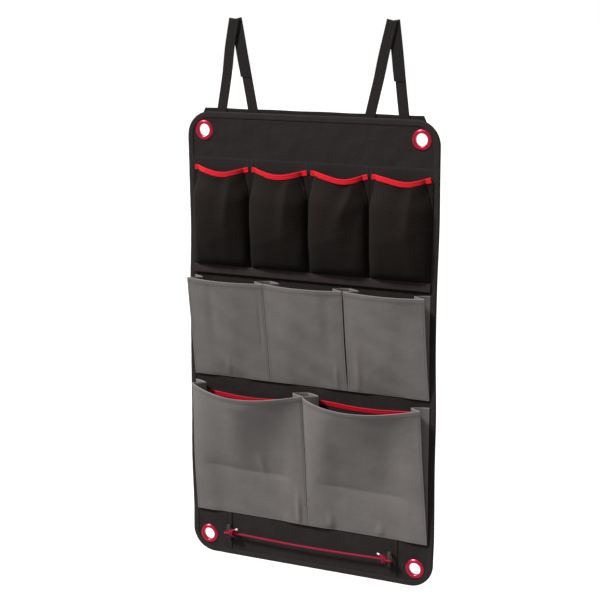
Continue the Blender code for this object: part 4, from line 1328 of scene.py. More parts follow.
@dataclass
class MeshRow:
    """Four bulging air-mesh pockets with red elastic mouths, their lining and the tape at their foot."""

    shop: Workshop
    count: int = 4
    bulge: float = 0.027
    mouth_bulge: float = 0.017
    side_power: float = 0.6
    flange: float = 0.0038
    left_flat: float = 0.0095
    right_flat: float = 0.0125
    trim_height: float = 0.010
    trim_thickness: float = 0.0020
    dips: tuple[float, ...] = (0.0100, 0.0092, 0.0105, 0.0088)
    dip_places: tuple[float, ...] = (0.57, 0.54, 0.62, 0.63)
    thickness: float = 0.0012
    lap: float = 0.009
    foot_share: float = 0.10
    foot_fullness: float = 0.42
    belly_rise: float = 0.55
    mouth_start: float = 0.70
    edge_share: float = 0.035
    fold_places: tuple[float, ...] = (0.70, 0.70, 0.74, 0.70)
    fold_drift: tuple[float, ...] = (0.05, 0.05, 0.22, 0.04)
    fold_rise: float = 0.0026
    fall_back: float = 0.0085
    trim_inset: float = 0.0036

    def build(self) -> None:
        """Make the row."""
        self.make_lining()
        for index in range(self.count):
            self.make_pocket(index)
            self.make_trim(index)
        self.make_tape()

    @property
    def half_width(self) -> float:
        """Half a pocket's width."""
        return self.shop.plan.row_half_width / self.count - self.shop.plan.seam_gap

    def centre(self, index: int) -> float:
        """The x of a pocket's middle."""
        wide = self.shop.plan.row_half_width
        return 2 * wide / self.count * (index + 0.5) - wide

    def make_lining(self) -> None:
        """The plain cloth behind the row, with its top edge turned in and sewn."""

        def pucker(across: float, up: float) -> float:
            """How far the lining stands out beside each seam between two mouths."""
            seam = max(1, min(self.count - 1, round(across * self.count))) / self.count
            off = (across - seam) * flat[0]
            return 0.0012 * (bell(off, 0.0, 0.0055) - bell(off, 0.0, 0.0022)) * ease(0.80, 0.92, up)

        place, flat = self.shop.over("mesh_row_lining", pucker)
        sheet = Sheet("mesh_row_back", place, (320, 34), 0.0008)
        item = self.shop.make(sheet, Finish.LINING, "panel", "mesh_row_lining")
        top = 1 - 0.003 / flat[1]
        tracks = [sheet.track([(step / 100, top) for step in range(1, 100)])]
        for seam in range(1, self.count):
            tracks.append(sheet.track([(seam / self.count, mix(0.93, 0.995, step / 6)) for step in range(7)]))
        self.shop.sew("lining_stitches", tracks, "panel")

    def across_arc(self, across: float, to_mouth: float) -> tuple[float, float]:
        """Where a point across a pocket stands in its arc.

        Args:
            across: Share from the left seam to the right.
            to_mouth: 0 for the boxy body, 1 for the slack mouth.

        Returns:
            The x from the pocket's middle and the share of the bulge.
        """
        left = mix(self.flange, self.left_flat, to_mouth) - self.half_width
        right = self.half_width - mix(self.flange, self.right_flat, to_mouth)
        edge = self.edge_share
        if across <= edge:
            return mix(-self.half_width, left, across / edge), 0.0
        if across >= 1 - edge:
            return mix(right, self.half_width, (across - 1 + edge) / edge), 0.0
        inner = (across - edge) / (1 - 2 * edge)
        inner -= 0.085 * math.sin(math.tau * inner)
        angle = math.pi * (1 - inner)
        across_power = mix(self.side_power, 1.0, to_mouth)
        swell_power = mix(self.side_power, 1.25, to_mouth)
        x = math.copysign(abs(math.cos(angle)) ** across_power, math.cos(angle))
        return mix(left, right, (x + 1) / 2), math.sin(angle) ** swell_power

    def dip(self, index: int, x: float) -> float:
        """How far the mouth hangs at an x from the pocket's middle."""
        share = min(1.0, max(0.0, (x + self.half_width) / (2 * self.half_width)))
        power = math.log(0.5) / math.log(self.dip_places[index])
        return self.dips[index] * math.sin(math.pi * share ** power) ** 1.6

    def pocket_point(self, index: int, across: float, up: float) -> Vector:
        """A point of a mesh pocket's rear surface.

        Args:
            index: The pocket.
            across: Share from the left seam to the right.
            up: Share from the lap under the tape to the mouth.

        Returns:
            The point, hung.
        """
        plan = self.shop.plan
        top = plan.mesh_mouth - self.trim_height + 0.002
        if up < 0.05:
            rise, filled = (up / 0.05 - 1) * self.lap / (top - plan.mesh_bottom), 0.0
        elif up < 0.20:
            turn = (up - 0.05) / 0.15 * math.pi / 2
            rise, filled = self.foot_share * (1 - math.cos(turn)), math.sin(turn)
        else:
            rise, filled = mix(self.foot_share, 1.0, (up - 0.20) / 0.80), 1.0
        belly = math.sin(math.pi / 2 * min(1.0, max(0.0, rise) / self.belly_rise))
        fullness = filled * mix(self.foot_fullness, 1.0, belly)
        to_mouth = ease(self.mouth_start, 1.0, rise)
        x, swell = self.across_arc(across, to_mouth)
        depth = mix(self.bulge, self.mouth_bulge, to_mouth) * fullness * swell
        depth += self.slack(index, (x / self.half_width + 1) / 2, rise) * fullness * ease(0.05, 0.5, swell)
        drop = self.dip(index, x) * max(0.0, rise) * ease(0.0, 0.5, swell + rise)
        depth = plan.lining_face + 0.0001 + max(0.0, depth)
        z = mix(plan.mesh_bottom, top, rise) - drop
        return self.shop.hang.carry(at(self.centre(index) + x, depth, z))

    def slack(self, index: int, share: float, rise: float) -> float:
        """Folds and puckers of the loose mesh.

        Args:
            index: The pocket.
            share: Share of the width, from the left.
            rise: Share of the height.

        Returns:
            How far the mesh stands out of its plain bulge.
        """
        place = self.fold_places[index] - self.fold_drift[index] * ease(0.95, 0.45, rise)
        high = ease(0.25, 0.7, rise) * ease(1.0, 0.92, rise)
        loose = ease(0.1, 0.5, rise) * ease(1.0, 0.85, rise)
        fold = self.fold_rise * bell(share, place, 0.055) * high
        valley = -0.0020 * bell(share, place - 0.15, 0.08) * high
        fall = -self.fall_back * ease(place, place + 0.30, share) * loose
        pucker = 0.0008 * math.sin(math.tau * (3.5 * share + 0.21 * index)) * bell(rise, 0.14, 0.12)
        sag = 0.0010 * math.sin(math.tau * (1.7 * rise + 0.8 * share + 0.3 * index))
        crease = 0.0014 * bell(rise - 0.25 * share, 0.18 + 0.05 * index, 0.05) * bell(share, 0.4, 0.3)
        return fold + valley + fall + pucker + sag + crease

    def make_pocket(self, index: int) -> None:
        """One mesh pocket."""
        number = index + 1
        place = partial(self.pocket_point, index)
        sheet = Sheet(f"mesh_pocket_{number}_cloth", place, (72, 80), self.thickness, index * 0.31)
        item = self.shop.make(sheet, Finish.MESH, "panel", f"mesh_pocket_{number}")
        sides = (self.edge_share * 0.45, 1 - self.edge_share * 0.45)
        tracks = [sheet.track([(side, step / 60) for step in range(2, 59)]) for side in sides]
        self.shop.sew(f"mesh_stitches_{number}", tracks, "panel")

    def mouth_line(self, index: int) -> list[Vector]:
        """The centre line of a pocket's elastic, from sewn end to sewn end."""
        plan = self.shop.plan
        line = []
        steps = 72
        for step in range(steps + 1):
            x, swell = self.across_arc(step / steps, 1.0)
            x *= (self.half_width - self.trim_inset) / self.half_width
            depth = plan.lining_face + 0.0001 + self.trim_thickness / 2 + self.mouth_bulge * swell
            z = plan.mesh_mouth - self.trim_height / 2 - self.dip(index, x)
            line.append(self.shop.hang.carry(at(self.centre(index) + x, depth + 0.0003, z)))
        return line

    def make_trim(self, index: int) -> None:
        """The elastic bound over one mouth, sewn along its foot and barred at both ends."""
        number = index + 1
        line = self.mouth_line(index)
        section = rounded_band(self.trim_thickness + 0.0006, self.trim_height, 0.00025)
        elastic = elastic_along(f"mouth_elastic_{number}", line, section)
        self.shop.make(elastic, Finish.RED_ELASTIC, "panel", f"elastic_trim_{number}")
        reach = self.trim_thickness / 2 + 0.0003
        low = Vector((0.0, 0.0, -0.30 * self.trim_height))
        seam = []
        for before, point, after in zip(line, line[1:], line[2:]):
            forward = ahead_of((after - before).normalized())
            seam.append((point + forward * reach + low, forward))
        tracks = [seam]
        steps = [Vector((0.0, -reach, up * self.trim_height)) for up in (-0.36, -0.18, 0.0, 0.18, 0.36)]
        for place in (3, 5, -4, -6):
            tracks.append([(line[place] + step, FORWARDS) for step in steps])
        thread = Stitcher(0.0026, 0.0019, 0.00045)
        self.shop.sew(f"elastic_stitches_{number}", tracks, "panel", Finish.RED_THREAD, thread)

    def make_tape(self) -> None:
        """The flat tape over the row's foot."""

        def swell(across: float, up: float) -> float:
            """How far the tape stands out, most along its middle."""
            return 0.0004 * math.sin(math.pi * up) + 0.0002 * math.sin(130.0 * across)

        place, flat = self.shop.over("mesh_row_tape", swell)
        sheet = Sheet("mesh_row_strip", place, (120, 8), 0.0010)
        item = self.shop.make(sheet, Finish.TAPE, "panel", "mesh_row_tape")
        tracks = [sheet.track([(step / 120, edge) for step in range(1, 120)]) for edge in (0.14, 0.86)]
        self.shop.sew("strip_stitches", tracks, "panel")


@dataclass(frozen=True)
class Crease:
    """One soft fold of a pocket's front: a hump or hollow round a slanting line, strongest at a place."""

    across: float
    up: float
    wide: float
    tall: float
    depth: float
    slant: float = 0.0

    def height(self, across: float, up: float) -> float:
        """How far it stands out at a point."""
        side = across - self.across
        along = up - self.up - self.slant * side
        return self.depth * bell(side, 0.0, self.wide) * bell(along, 0.0, self.tall)


def soft_ramp(past: float) -> float:
    """Nothing before a corner and a slope of one past it, rounded at the corner."""
    return math.log1p(math.exp(past)) if past < 30 else past


@dataclass
class BellowsRow:
    """A row of grey bellows pockets: hemmed fronts joined to the panel by folded gussets."""

    shop: Workshop
    name: str
    count: int
    bottom: float
    height: float
    seam_depth: float
    mouth_depth: float
    bow: float
    dip: float
    side_drop: float
    draw_in: float
    creases: tuple[tuple[Crease, ...], ...]
    bends: tuple[tuple[float, float, float], ...] = ()
    peaks: tuple[float, ...] = (0.5, 0.5, 0.5)
    low_climb: float = 0.5
    pressed: float = 0.0018
    press_reach: float = 0.035
    slits: tuple[float, ...] = ()
    leaf: float = 0.029
    clearance: float = 0.0012
    cloth: float = 0.0010
    gusset_cloth: float = 0.0008
    stack: float = 0.0011
    hem: float = 0.009
    gusset_sag: float = 0.0016

    def build(self) -> None:
        """Make every pocket of the row."""
        for index in range(self.count):
            self.make_front(index)
            for side in Side:
                self.make_gusset(index, side)

    def sides(self, index: int, rise: float) -> tuple[float, float]:
        """The x of a front's two edges at a share of its height."""
        plan = self.shop.plan
        edges = []
        for seam, inwards in ((index, 1), (index + 1, -1)):
            drawn = self.draw_in * rise
            if 0 < seam < self.count:
                drawn = self.slits[seam - 1] * ease(0.0, 0.2, rise)
            x = 2 * plan.row_half_width * seam / self.count - plan.row_half_width
            edges.append(x + inwards * (plan.seam_gap + drawn))
        return edges[0], edges[1]

    @property
    def rear_leaf(self) -> float:
        """Depth of the gusset's leaf that lies on the panel."""
        return self.seam_depth + 0.0004

    @property
    def front_rear(self) -> float:
        """Depth of the front's rear surface at its foot."""
        return self.rear_leaf + self.stack + 0.0007

    def side_height(self, rise: float) -> float:
        """Height of the front's edges."""
        return self.bottom + (self.height - self.side_drop) * rise

    def front_point(self, index: int, across: float, rise: float) -> Vector:
        """A point of a front's rear surface.

        Args:
            index: The pocket.
            across: Share from left to right.
            rise: Share of the height.

        Returns:
            The point, hung.
        """
        left, right = self.sides(index, rise)
        arch = math.sin(math.pi * across)
        belly = math.sin(math.pi * across ** (math.log(0.5) / math.log(self.peaks[index])))
        fold = (self.leaf + self.clearance) / (right - left)
        edge_distance = min(across, 1 - across)
        tuck = (self.front_rear - self.shop.plan.face) * ease(fold, fold * 2, edge_distance)
        free = ease(0.0, 0.32, edge_distance)
        bent = mix(rise, self.bent_share(index, across, rise), free)
        depth = self.front_rear + self.mouth_depth * bent - tuck * (1 - rise) ** 4 + self.bow * belly * bent
        depth += self.folds(index, across, rise)
        z = self.side_height(rise) - self.dip * arch * rise ** 3
        calm = ease(0.0, 0.12, rise)
        wave = 0.0005 * calm * math.sin(23.0 * rise + 11.0 * across + index) * arch
        return self.shop.hang.carry(at(mix(left, right, across), depth + wave, z))

    def bent_share(self, index: int, across: float, rise: float) -> float:
        """How far forward a front has come: little below its crease, and more above it.

        Args:
            index: The pocket.
            across: Share from left to right.
            rise: Share of the height.

        Returns:
            The share of the mouth's depth.
        """
        if not self.bends:
            return rise
        crease, soft = self.crease_line(index, across)
        hinge, full = (soft_ramp((share - crease) / soft) for share in (rise, 1.0))
        return self.low_climb * rise + (1 - self.low_climb) * hinge / full

    def crease_line(self, index: int, across: float) -> tuple[float, float]:
        """Where the pressed crease runs and how soft it is there, as shares of the height."""
        level, turn, climb = self.bends[index]
        lifted = ease(turn, 1.0, across)
        return level - 0.03 * across + climb * lifted, 0.010 + 0.09 * lifted

    def folds(self, index: int, across: float, rise: float) -> float:
        """The front's creases and its hem, which fade at its edges."""
        edge_distance = min(across, 1 - across)
        free = ease(0.0, 0.06, edge_distance)
        total = 0.0
        if self.bends:
            level = self.bends[index][0] - 0.03 * across
            sharp = ease(0.06, 0.20, edge_distance) * ease(1.0, 0.75, across)
            total -= self.pressed * sharp * math.exp(-abs(rise - level) / self.press_reach)
        for crease in self.creases[index]:
            height = crease.height(across, rise)
            total += height * (ease(0.05, 0.5, rise) if height < 0 else ease(0.0, 0.04, rise))
        hem_start = 1 - self.hem / self.height
        return total * free * ease(1.0, 0.9, rise) + 0.0005 * ease(hem_start - 0.004, hem_start + 0.004, rise)

    def make_front(self, index: int) -> None:
        """One front, with its hem and foot sewn."""
        number = index + 1
        left, right = self.sides(index, 0.0)
        width, body = right - left, self.body(index)
        cells = (round(width / 0.0022), round(self.height / 0.0028))
        place = partial(self.front_point, index)
        sheet = Sheet(f"{self.name}_front_{number}", place, cells, self.cloth, index * 0.37)
        item = self.shop.make(sheet, Finish.GREY, body, f"{self.name}_pocket_front_{number}")
        hem = 1 - (self.hem - 0.0015) / self.height
        steps = cells[0]
        tracks = [sheet.track([(step / steps, hem) for step in range(steps + 1)])]
        tracks.append(sheet.track([(step / steps, 0.018) for step in range(1, steps)]))
        edge = 0.0035 / width
        for side in (edge, 1 - edge):
            tracks.append(sheet.track([(side, step / 60) for step in range(1, 60)]))
        self.shop.sew(f"{self.name}_front_stitches_{number}", tracks, body, Finish.GREY_THREAD)

    def body(self, index: int) -> str:
        """The body that a front turns with."""
        return f"{self.name}_front_{index + 1}"

    def make_gusset(self, index: int, side: Side) -> None:
        """The folded cloth at one side of a pocket, as two leaves that meet at the fold."""
        edge = 0 if side is Side.LEFT else 1
        seam_x = self.sides(index, 0.0)[edge]

        def corner(rise: float) -> tuple[Vector, Vector, Vector]:
            """The seam, the fold and the front edge at a share of the height."""
            front_x = self.sides(index, rise)[edge]
            opening = self.stack + self.mouth_depth * rise
            reach = math.sqrt(self.leaf ** 2 - (opening / 2) ** 2)
            fold_x = (seam_x + front_x) / 2 - side.value * reach
            z = self.side_height(rise)
            seam = at(seam_x, self.rear_leaf, z)
            fold = at(fold_x, self.rear_leaf + opening / 2, z)
            return seam, fold, at(front_x, self.rear_leaf + opening, z)

        def leaf(last: int, sag: float, across: float, up: float) -> Vector:
            """A point of one of the leaves, which both start at the fold.

            Args:
                last: Which of the three points of a corner the leaf ends at.
                sag: How far its middle stands to the rear at the mouth.
                across: Share from left to right.
                up: Share of the height.

            Returns:
                The point, hung.
            """
            points = corner(up)
            share = across if side is Side.RIGHT else 1 - across
            out = Vector((0.0, sag * up * math.sin(math.pi * share), 0.0))
            return self.shop.hang.carry(points[1].lerp(points[last], share) + out)

        label = f"{self.name}_gusset_{index + 1}_{side.word}"
        level = self.bottom + self.height / 2
        near, far = (at(x, 0.01, level) for x in (seam_x, seam_x - side.value * 2 * self.leaf))
        leaves = (
            ("rear", partial(leaf, 0, self.gusset_sag), (near, far), (label,)),
            ("front", partial(leaf, 2, -self.gusset_sag), (far, near), ()),
        )
        for word, place, span, nodes in leaves:
            sheet = Sheet(f"{label}_{word}", place, (16, 60), self.gusset_cloth, index * 0.19)
            item = self.shop.bend(sheet, Finish.GREY, ("panel", self.body(index)), span, *nodes)


@dataclass
class InnerPockets:
    """The two flat black pockets behind the large mouths, with dark red elastic mouths."""

    shop: Workshop
    count: int = 2
    top_drops: tuple[float, ...] = (0.0202, 0.0138)
    height: float = 0.150
    bulges: tuple[float, ...] = (0.0085, 0.0050)
    dip: float = 0.004
    trim_height: float = 0.009
    trim_thickness: float = 0.0016
    cloth: float = 0.0008
    side_lap: float = 0.003

    def build(self) -> None:
        """Make both pockets."""
        for index in range(self.count):
            self.make_pocket(index)

    def point(self, index: int, across: float, rise: float, z: float, out: float = 0.0) -> Vector:
        """A point of a pocket's rear surface at a height."""
        plan = self.shop.plan
        pitch = 2 * plan.row_half_width / self.count
        left = pitch * index - plan.row_half_width + self.side_lap
        right = left + pitch - 2 * self.side_lap
        swell = math.sin(math.pi * across) ** 2
        bulge = self.bulges[index] * swell * rise
        spot = at(mix(left, right, across), plan.face + bulge + out, z - self.dip * swell * rise)
        return self.shop.hang.carry(spot)

    def make_pocket(self, index: int) -> None:
        """One pocket and its elastic."""
        number = index + 1
        plan = self.shop.plan
        top = plan.large_mouth - self.top_drops[index]
        bottom = top - self.height

        def place(across: float, up: float) -> Vector:
            """A point of the cloth."""
            return self.point(index, across, up, mix(bottom, top - self.trim_height + 0.001, up))

        sheet = Sheet(f"inner_cloth_{number}", place, (60, 36), self.cloth, index * 0.29)
        item = self.shop.make(sheet, Finish.LINING, "panel", f"inner_pocket_{number}")
        middle, out = top - self.trim_height / 2, self.trim_thickness / 2 + 0.0002
        line = [self.point(index, step / 72, 1.0, middle, out) for step in range(73)]
        section = rounded_band(self.trim_thickness + 0.0005, self.trim_height, 0.0002)
        trim = elastic_along(f"inner_elastic_{number}", line, section)
        self.shop.make(trim, Finish.DARK_ELASTIC, "panel", f"inner_trim_{number}")


@dataclass
class Eyelets:
    """The four rolled metal eyelets."""

    shop: Workshop
    profile: tuple[tuple[float, float], ...] = (
        (0.0115, -0.0014), (0.0115, 0.0020), (0.0115, 0.0038), (0.01165, 0.0046), (0.0122, 0.0052),
        (0.0132, 0.0056), (0.0145, 0.0058), (0.0158, 0.0056), (0.0170, 0.0050), (0.0180, 0.0042),
        (0.0186, 0.0036), (0.0186, 0.0033), (0.0122, 0.0033), (0.0122, -0.0014), (0.0145, -0.0014),
        (0.0145, -0.0018), (0.01381, -0.0024), (0.0122, -0.0024), (0.0116, -0.0019),
    )
    washer: tuple[tuple[float, float], ...] = (
        (0.0125, -0.0004), (0.0184, -0.0003), (0.0188, -0.0005), (0.0188, -0.0009), (0.0184, -0.0011),
        (0.0125, -0.0012),
    )

    def build(self) -> None:
        """Turn one ring and one washer for each hole."""
        parts = (
            ("ring", self.profile, 96, Finish.RED_METAL, "eyelet"),
            ("washer", self.washer, 72, Finish.STEEL, "eyelet_washer"),
        )
        for name, x, z in self.shop.plan.eyelets():
            for word, profile, segments, finish, node in parts:
                circles = [(radius, -depth) for radius, depth in profile]
                item = turned_piece(f"{word}_{name}", circles, segments, True)
                item.data.transform(Matrix.Translation((x, 0.0, z)))
                smooth(item, 35)
                dress(item, self.shop.wardrobe.of(finish))
                self.shop.deliver(item, finish, "panel", f"{node}_{name}")


@dataclass
class CordSet:
    """The red cord of the foot, with its web loops, knots, metal tips and sewn tapes."""

    shop: Workshop
    loop_x: float = 0.170
    loop_rear: float = 0.0046
    loop_width: float = 0.006
    loop_half_height: float = 0.015
    loop_reach: float = 0.0115
    inside: float = 0.0133
    outside: float = 0.0189
    radius: float = 0.002
    sag: float = 0.003
    turn: float = 0.0028
    edge: float = 0.1733
    knot_run: tuple[float, float, float] = (0.016, 0.011, 0.006)
    tail: tuple[tuple[float, float, float], ...] = (
        (0.004, 0.0, 0.001), (0.009, 0.0, 0.005), (0.014, 0.001, 0.008), (0.018, 0.002, 0.009),
    )

    def build(self) -> None:
        """Make the cord and what holds it."""
        for side in Side:
            self.make_tape(side)
            self.make_loop(side)
            self.make_knot(side)
            self.make_tip(side)
        self.make_cord()

    def make_tape(self, side: Side) -> None:
        """The short upright tape that a loop is sewn on."""
        node = f"cord_anchor_tape_{side.word}"
        place, flat = self.shop.over(node)
        sheet = Sheet(f"anchor_strip_{side.word}", place, (10, 40), 0.0010)
        item = self.shop.make(sheet, Finish.WEBBING, "panel", node)
        tracks = [sheet.track([(edge, step / 40) for step in range(1, 40)]) for edge in (0.12, 0.88)]
        self.shop.sew(f"anchor_stitches_{side.word}", tracks, "panel")

    def make_loop(self, side: Side) -> None:
        """A narrow web loop, sewn down behind the cord."""
        steps, skin, half = 40, 0.0005, self.loop_width / 2
        sections, centres = [], []
        for step in range(steps):
            angle = math.tau * step / steps
            depth = self.loop_rear + self.loop_reach * (1 - math.cos(angle)) / 2
            z = self.shop.plan.cord_height + self.loop_half_height * math.sin(angle)
            centre = at(side.value * self.loop_x, depth, z)
            out = Vector((0.0, math.cos(angle), math.sin(angle)))
            section = []
            for layer in (-1, 1):
                for wide in (-1.0, -0.5, 0.5, 1.0):
                    section.append(centre + out * skin * layer + Vector((-layer * wide * half, 0.0, 0.0)))
            sections.append(section)
            centres.append(centre)
        loop = Sweep(f"web_loop_{side.word}", centres, sections, closed_path=True, degrees=50.0)
        self.shop.make(loop, Finish.LIT_NARROW_WEB, "panel", f"cord_loop_{side.word}")

    def route_end(self, side: Side) -> list[Vector]:
        """The cord from its knot round the loop's edge to its tail, on one side."""
        z = self.shop.plan.cord_height
        sign = side.value
        points = [at(sign * (self.loop_x - run), self.inside, z) for run in self.knot_run]
        points.append(at(sign * self.edge, self.inside, z))
        for degrees in (45, 90, 135):
            angle = math.radians(degrees)
            x = self.edge + self.turn * math.sin(angle)
            points.append(at(sign * x, self.inside + self.turn * (1 - math.cos(angle)), z))
        points.append(at(sign * self.edge, self.outside, z))
        for inwards, back, rise in self.tail:
            points.append(at(sign * (self.loop_x - inwards), self.outside - back, z + rise))
        return points

    def route(self) -> list[Vector]:
        """The whole cord, from the left tip to the right one."""
        left, right = self.route_end(Side.LEFT), self.route_end(Side.RIGHT)
        reach = self.loop_x - self.knot_run[0]
        middle = []
        for step in range(1, 24):
            share = step / 24
            z = self.shop.plan.cord_height - self.sag * math.sin(math.pi * share)
            middle.append(at(mix(-reach, reach, share), self.inside, z))
        return curve_through([*reversed(left), *middle, *right], 6)

    def make_cord(self) -> None:
        """The braided cord itself."""
        route = self.route()
        cord = Sweep("braided_cord", route, tube_sections(route, self.radius, 16))
        item = self.shop.make(cord, Finish.CORD, "panel", "bungee_cord")

    def make_knot(self, side: Side) -> None:
        """The turns of the knot that keeps the cord from slipping out of the loop."""
        z = self.shop.plan.cord_height
        start, end = self.loop_x - 0.0150, self.loop_x - 0.0048
        points = []
        turns, steps = 2.4, 52
        for step in range(steps + 1):
            share = step / steps
            angle = math.tau * turns * share
            reach = 0.0056 * ease(0.0, 0.12, share) * ease(1.0, 0.88, share) + 0.0004
            x = side.value * mix(start, end, share)
            points.append(at(x, self.inside + reach * math.cos(angle), z + reach * math.sin(angle)))
        knot = Sweep(f"knot_{side.word}", points, tube_sections(points, self.radius * 0.95, 12))
        self.shop.make(knot, Finish.CORD, "panel")

    def make_tip(self, side: Side) -> None:
        """A crimped metal tip on the cord's end."""
        tail = self.route_end(side)
        end, before = tail[-1], tail[-2]
        along = (end - before).normalized()
        profile = (
            (0.0021, 0.0), (0.0024, -0.0002), (0.00245, -0.0016), (0.00215, -0.0020), (0.00215, -0.0030),
            (0.00245, -0.0034), (0.0024, -0.0046), (0.0020, -0.0052), (0.0012, -0.0054),
        )
        tip = turned_piece(f"tip_{side.word}", profile, 24, False)
        facing = FORWARDS.rotation_difference(along).to_matrix().to_4x4()
        tip.data.transform(Matrix.Translation(end - along * 0.0004) @ facing)
        smooth(tip, 40)
        dress(tip, self.shop.wardrobe.of(Finish.STEEL))
        self.shop.deliver(tip, Finish.STEEL, "panel", f"cord_tip_{side.word}")


@dataclass
class Hanger:
    """One hanger: a rear strap whole over its hinge, a front strap in two parts, and their patches."""

    shop: Workshop
    side: Side
    outer_x: float = 0.1815
    inner_x: float = 0.1185
    peak_x: float = 0.157
    hinge_rise: float = 0.0105
    crossing: float = 0.181
    end_rise: float = 0.172
    lean: float = 0.010
    hinge_y: float = 0.00215
    width: float = 0.020
    thickness: float = 0.0015
    root_lap: float = 0.012
    bend_rise: float = 0.130
    loop_length: float = 0.106
    hook_length: float = 0.028
    patch: float = 0.0012
    patch_half: float = 0.0113
    patch_shift: float = 0.0009
    gap: float = 0.0003

    def build(self) -> None:
        """Make both straps and their patches."""
        self.make_rear()
        self.make_front()
        self.sew_seams()

    def base_x(self, front: bool) -> float:
        """The x of a leg's foot: the front leg is the left one."""
        left, right = sorted((self.side.value * self.outer_x, self.side.value * self.inner_x))
        return left if front else right

    def section(
        self, front: bool, rise: float, half: float, layer: tuple[float, float], shift: float = 0.0,
    ) -> list[Vector]:
        """A strap's section across at a height, level low down and square to the leg at its end.

        Args:
            front: Whether it is the front leg.
            rise: Height above the panel's top edge.
            half: Half the strap's width.
            layer: How far its rear and its front are in front of the leg's middle.
            shift: How far it is moved to the right.

        Returns:
            The section's points, its long edges rounded.
        """
        side, foot = self.side.value, self.base_x(front)
        run, whole_run = rise - self.hinge_rise, self.crossing - self.hinge_rise
        slope = (side * self.peak_x - foot) / whole_run
        wobble = 0.0006 * math.sin(38.0 * rise + (1.0 if front else 2.4) + side) * ease(0.02, 0.06, rise)
        wobble *= ease(0.0, 0.05, abs(self.end_rise - self.loop_length - rise))
        y = self.hinge_y + self.lean / whole_run * max(0.0, run) + wobble
        centre = Vector((foot + slope * run + shift, y, self.shop.plan.top + rise))
        along = Vector((slope, 0.0, 1.0)).normalized()
        level, square = Vector((1.0 / along.z, 0.0, 0.0)), Vector((along.z, 0.0, -along.x))
        across = level.lerp(square, ease(self.end_rise - 0.03, self.end_rise, rise)) * half
        middle, skin = (layer[0] + layer[1]) / 2, (layer[1] - layer[0]) / 2
        rear_points = (
            (-1.0, -0.55), (-0.985, -0.9), (-0.9, -1.0), (-0.5, -1.0), (0.0, -1.0), (0.5, -1.0), (0.9, -1.0),
            (0.985, -0.9), (1.0, -0.55),
        )
        shape = rear_points + tuple((-wide, -deep) for wide, deep in rear_points)
        return [centre + across * wide + Vector((0.0, -(middle + skin * deep), 0.0)) for wide, deep in shape]

    def strip(
        self, name: str, front: bool, rises: Sequence[float], half: float, layer: Layer, shift: float = 0.0,
    ) -> Sweep:
        """Carry a strap or patch up a leg.

        Args:
            name: The piece's name.
            front: Whether it lies on the front leg.
            rises: Heights of its sections.
            half: Half its width.
            layer: Rear and front of the layer at a height.
            shift: How far it is moved to the right.

        Returns:
            The sweep, not yet built.
        """
        sections = [self.section(front, rise, half, layer(rise), shift) for rise in rises]
        return Sweep(name, [sum(section, Vector()) / len(section) for section in sections], sections)

    @staticmethod
    def steps(low: float, high: float, step: float) -> list[float]:
        """Even heights from low to high."""
        count = max(2, round((high - low) / step))
        return [mix(low, high, index / count) for index in range(count + 1)]

    def make_rear(self) -> None:
        """The rear strap, which bends at the panel's top seam, and the loop patch on its front."""
        word = self.side.word
        body = f"hanger_{word}_rear_leg"
        skin = self.thickness / 2

        def layer(rise: float) -> tuple[float, float]:
            """The strap's own thickness."""
            return -skin, skin

        rises = self.steps(-self.root_lap, -0.0005, 0.003) + self.steps(0.0, 0.024, 0.0006)
        rises += self.steps(0.027, self.end_rise, 0.004)
        half = self.width / 2
        strap = self.strip(f"rear_strap_{word}", False, rises, half, layer)
        x, top = self.base_x(False), self.shop.plan.top + self.hinge_rise
        span = (Vector((x, self.hinge_y, top - 0.003)), Vector((x, self.hinge_y, top + 0.006)))
        nodes = (f"hanger_rear_tape_{word}", f"hanger_root_{word}_rear")
        self.shop.bend(strap, Finish.WEBBING, ("panel", body), span, *nodes)

        start, behind = self.end_rise - self.loop_length, skin + self.gap

        def pile(rise: float) -> tuple[float, float]:
            """The patch's layer, thinner at its lower end."""
            return behind, behind + self.patch * mix(0.55, 1.0, ease(start, start + 0.002, rise))

        rises = self.steps(start, self.end_rise, 0.002)
        patch = self.strip(f"loop_strip_{word}", False, rises, self.patch_half, pile, -self.patch_shift)
        self.shop.make(patch, Finish.LOOP, body, f"loop_patch_{word}")

    def raised(self, rise: float) -> tuple[float, float]:
        """The front strap's layer: it steps forward to pass over the patches."""
        skin = self.thickness / 2
        lift = skin + 3 * self.gap + 2 * self.patch
        share = ease(0.06, self.bend_rise, rise)
        rear = mix(-skin, lift, share)
        return rear, rear + self.thickness

    def make_front(self) -> None:
        """The front strap in two parts that meet at the hinge, and the hook patch behind its end."""
        word = self.side.word
        body = f"hanger_{word}_front_leg"
        skin = self.thickness / 2
        half = self.width / 2
        root = self.steps(-self.root_lap, self.hinge_rise - 0.0006, 0.002)
        root += [self.hinge_rise - 0.0003, self.hinge_rise - 0.0001]

        def root_layer(rise: float) -> tuple[float, float]:
            """The root, round at its top."""
            thin = math.sqrt(max(0.12, 1 - (max(0.0, rise - self.hinge_rise + skin) / skin) ** 2))
            return -skin * thin, skin * thin

        piece = self.strip(f"front_root_{word}", True, root, half, root_layer)
        self.shop.make(piece, Finish.WEBBING, "panel", f"hanger_root_{word}_front")

        def strap_layer(rise: float) -> tuple[float, float]:
            """The strap, round at its foot."""
            if rise < self.hinge_rise:
                thin = math.sqrt(max(0.05, 1 - ((self.hinge_rise - rise) / skin) ** 2))
                return -skin * thin, skin * thin
            return self.raised(rise)

        foot = [self.hinge_rise - skin * math.sin(math.radians(angle)) for angle in (85, 65, 45, 25)]
        rises = foot + self.steps(self.hinge_rise, 0.05, 0.004) + self.steps(0.053, self.end_rise, 0.003)
        strap = self.strip(f"front_strap_{word}", True, rises, half, strap_layer)
        self.shop.make(strap, Finish.WEBBING, body, f"hanger_front_tape_{word}")

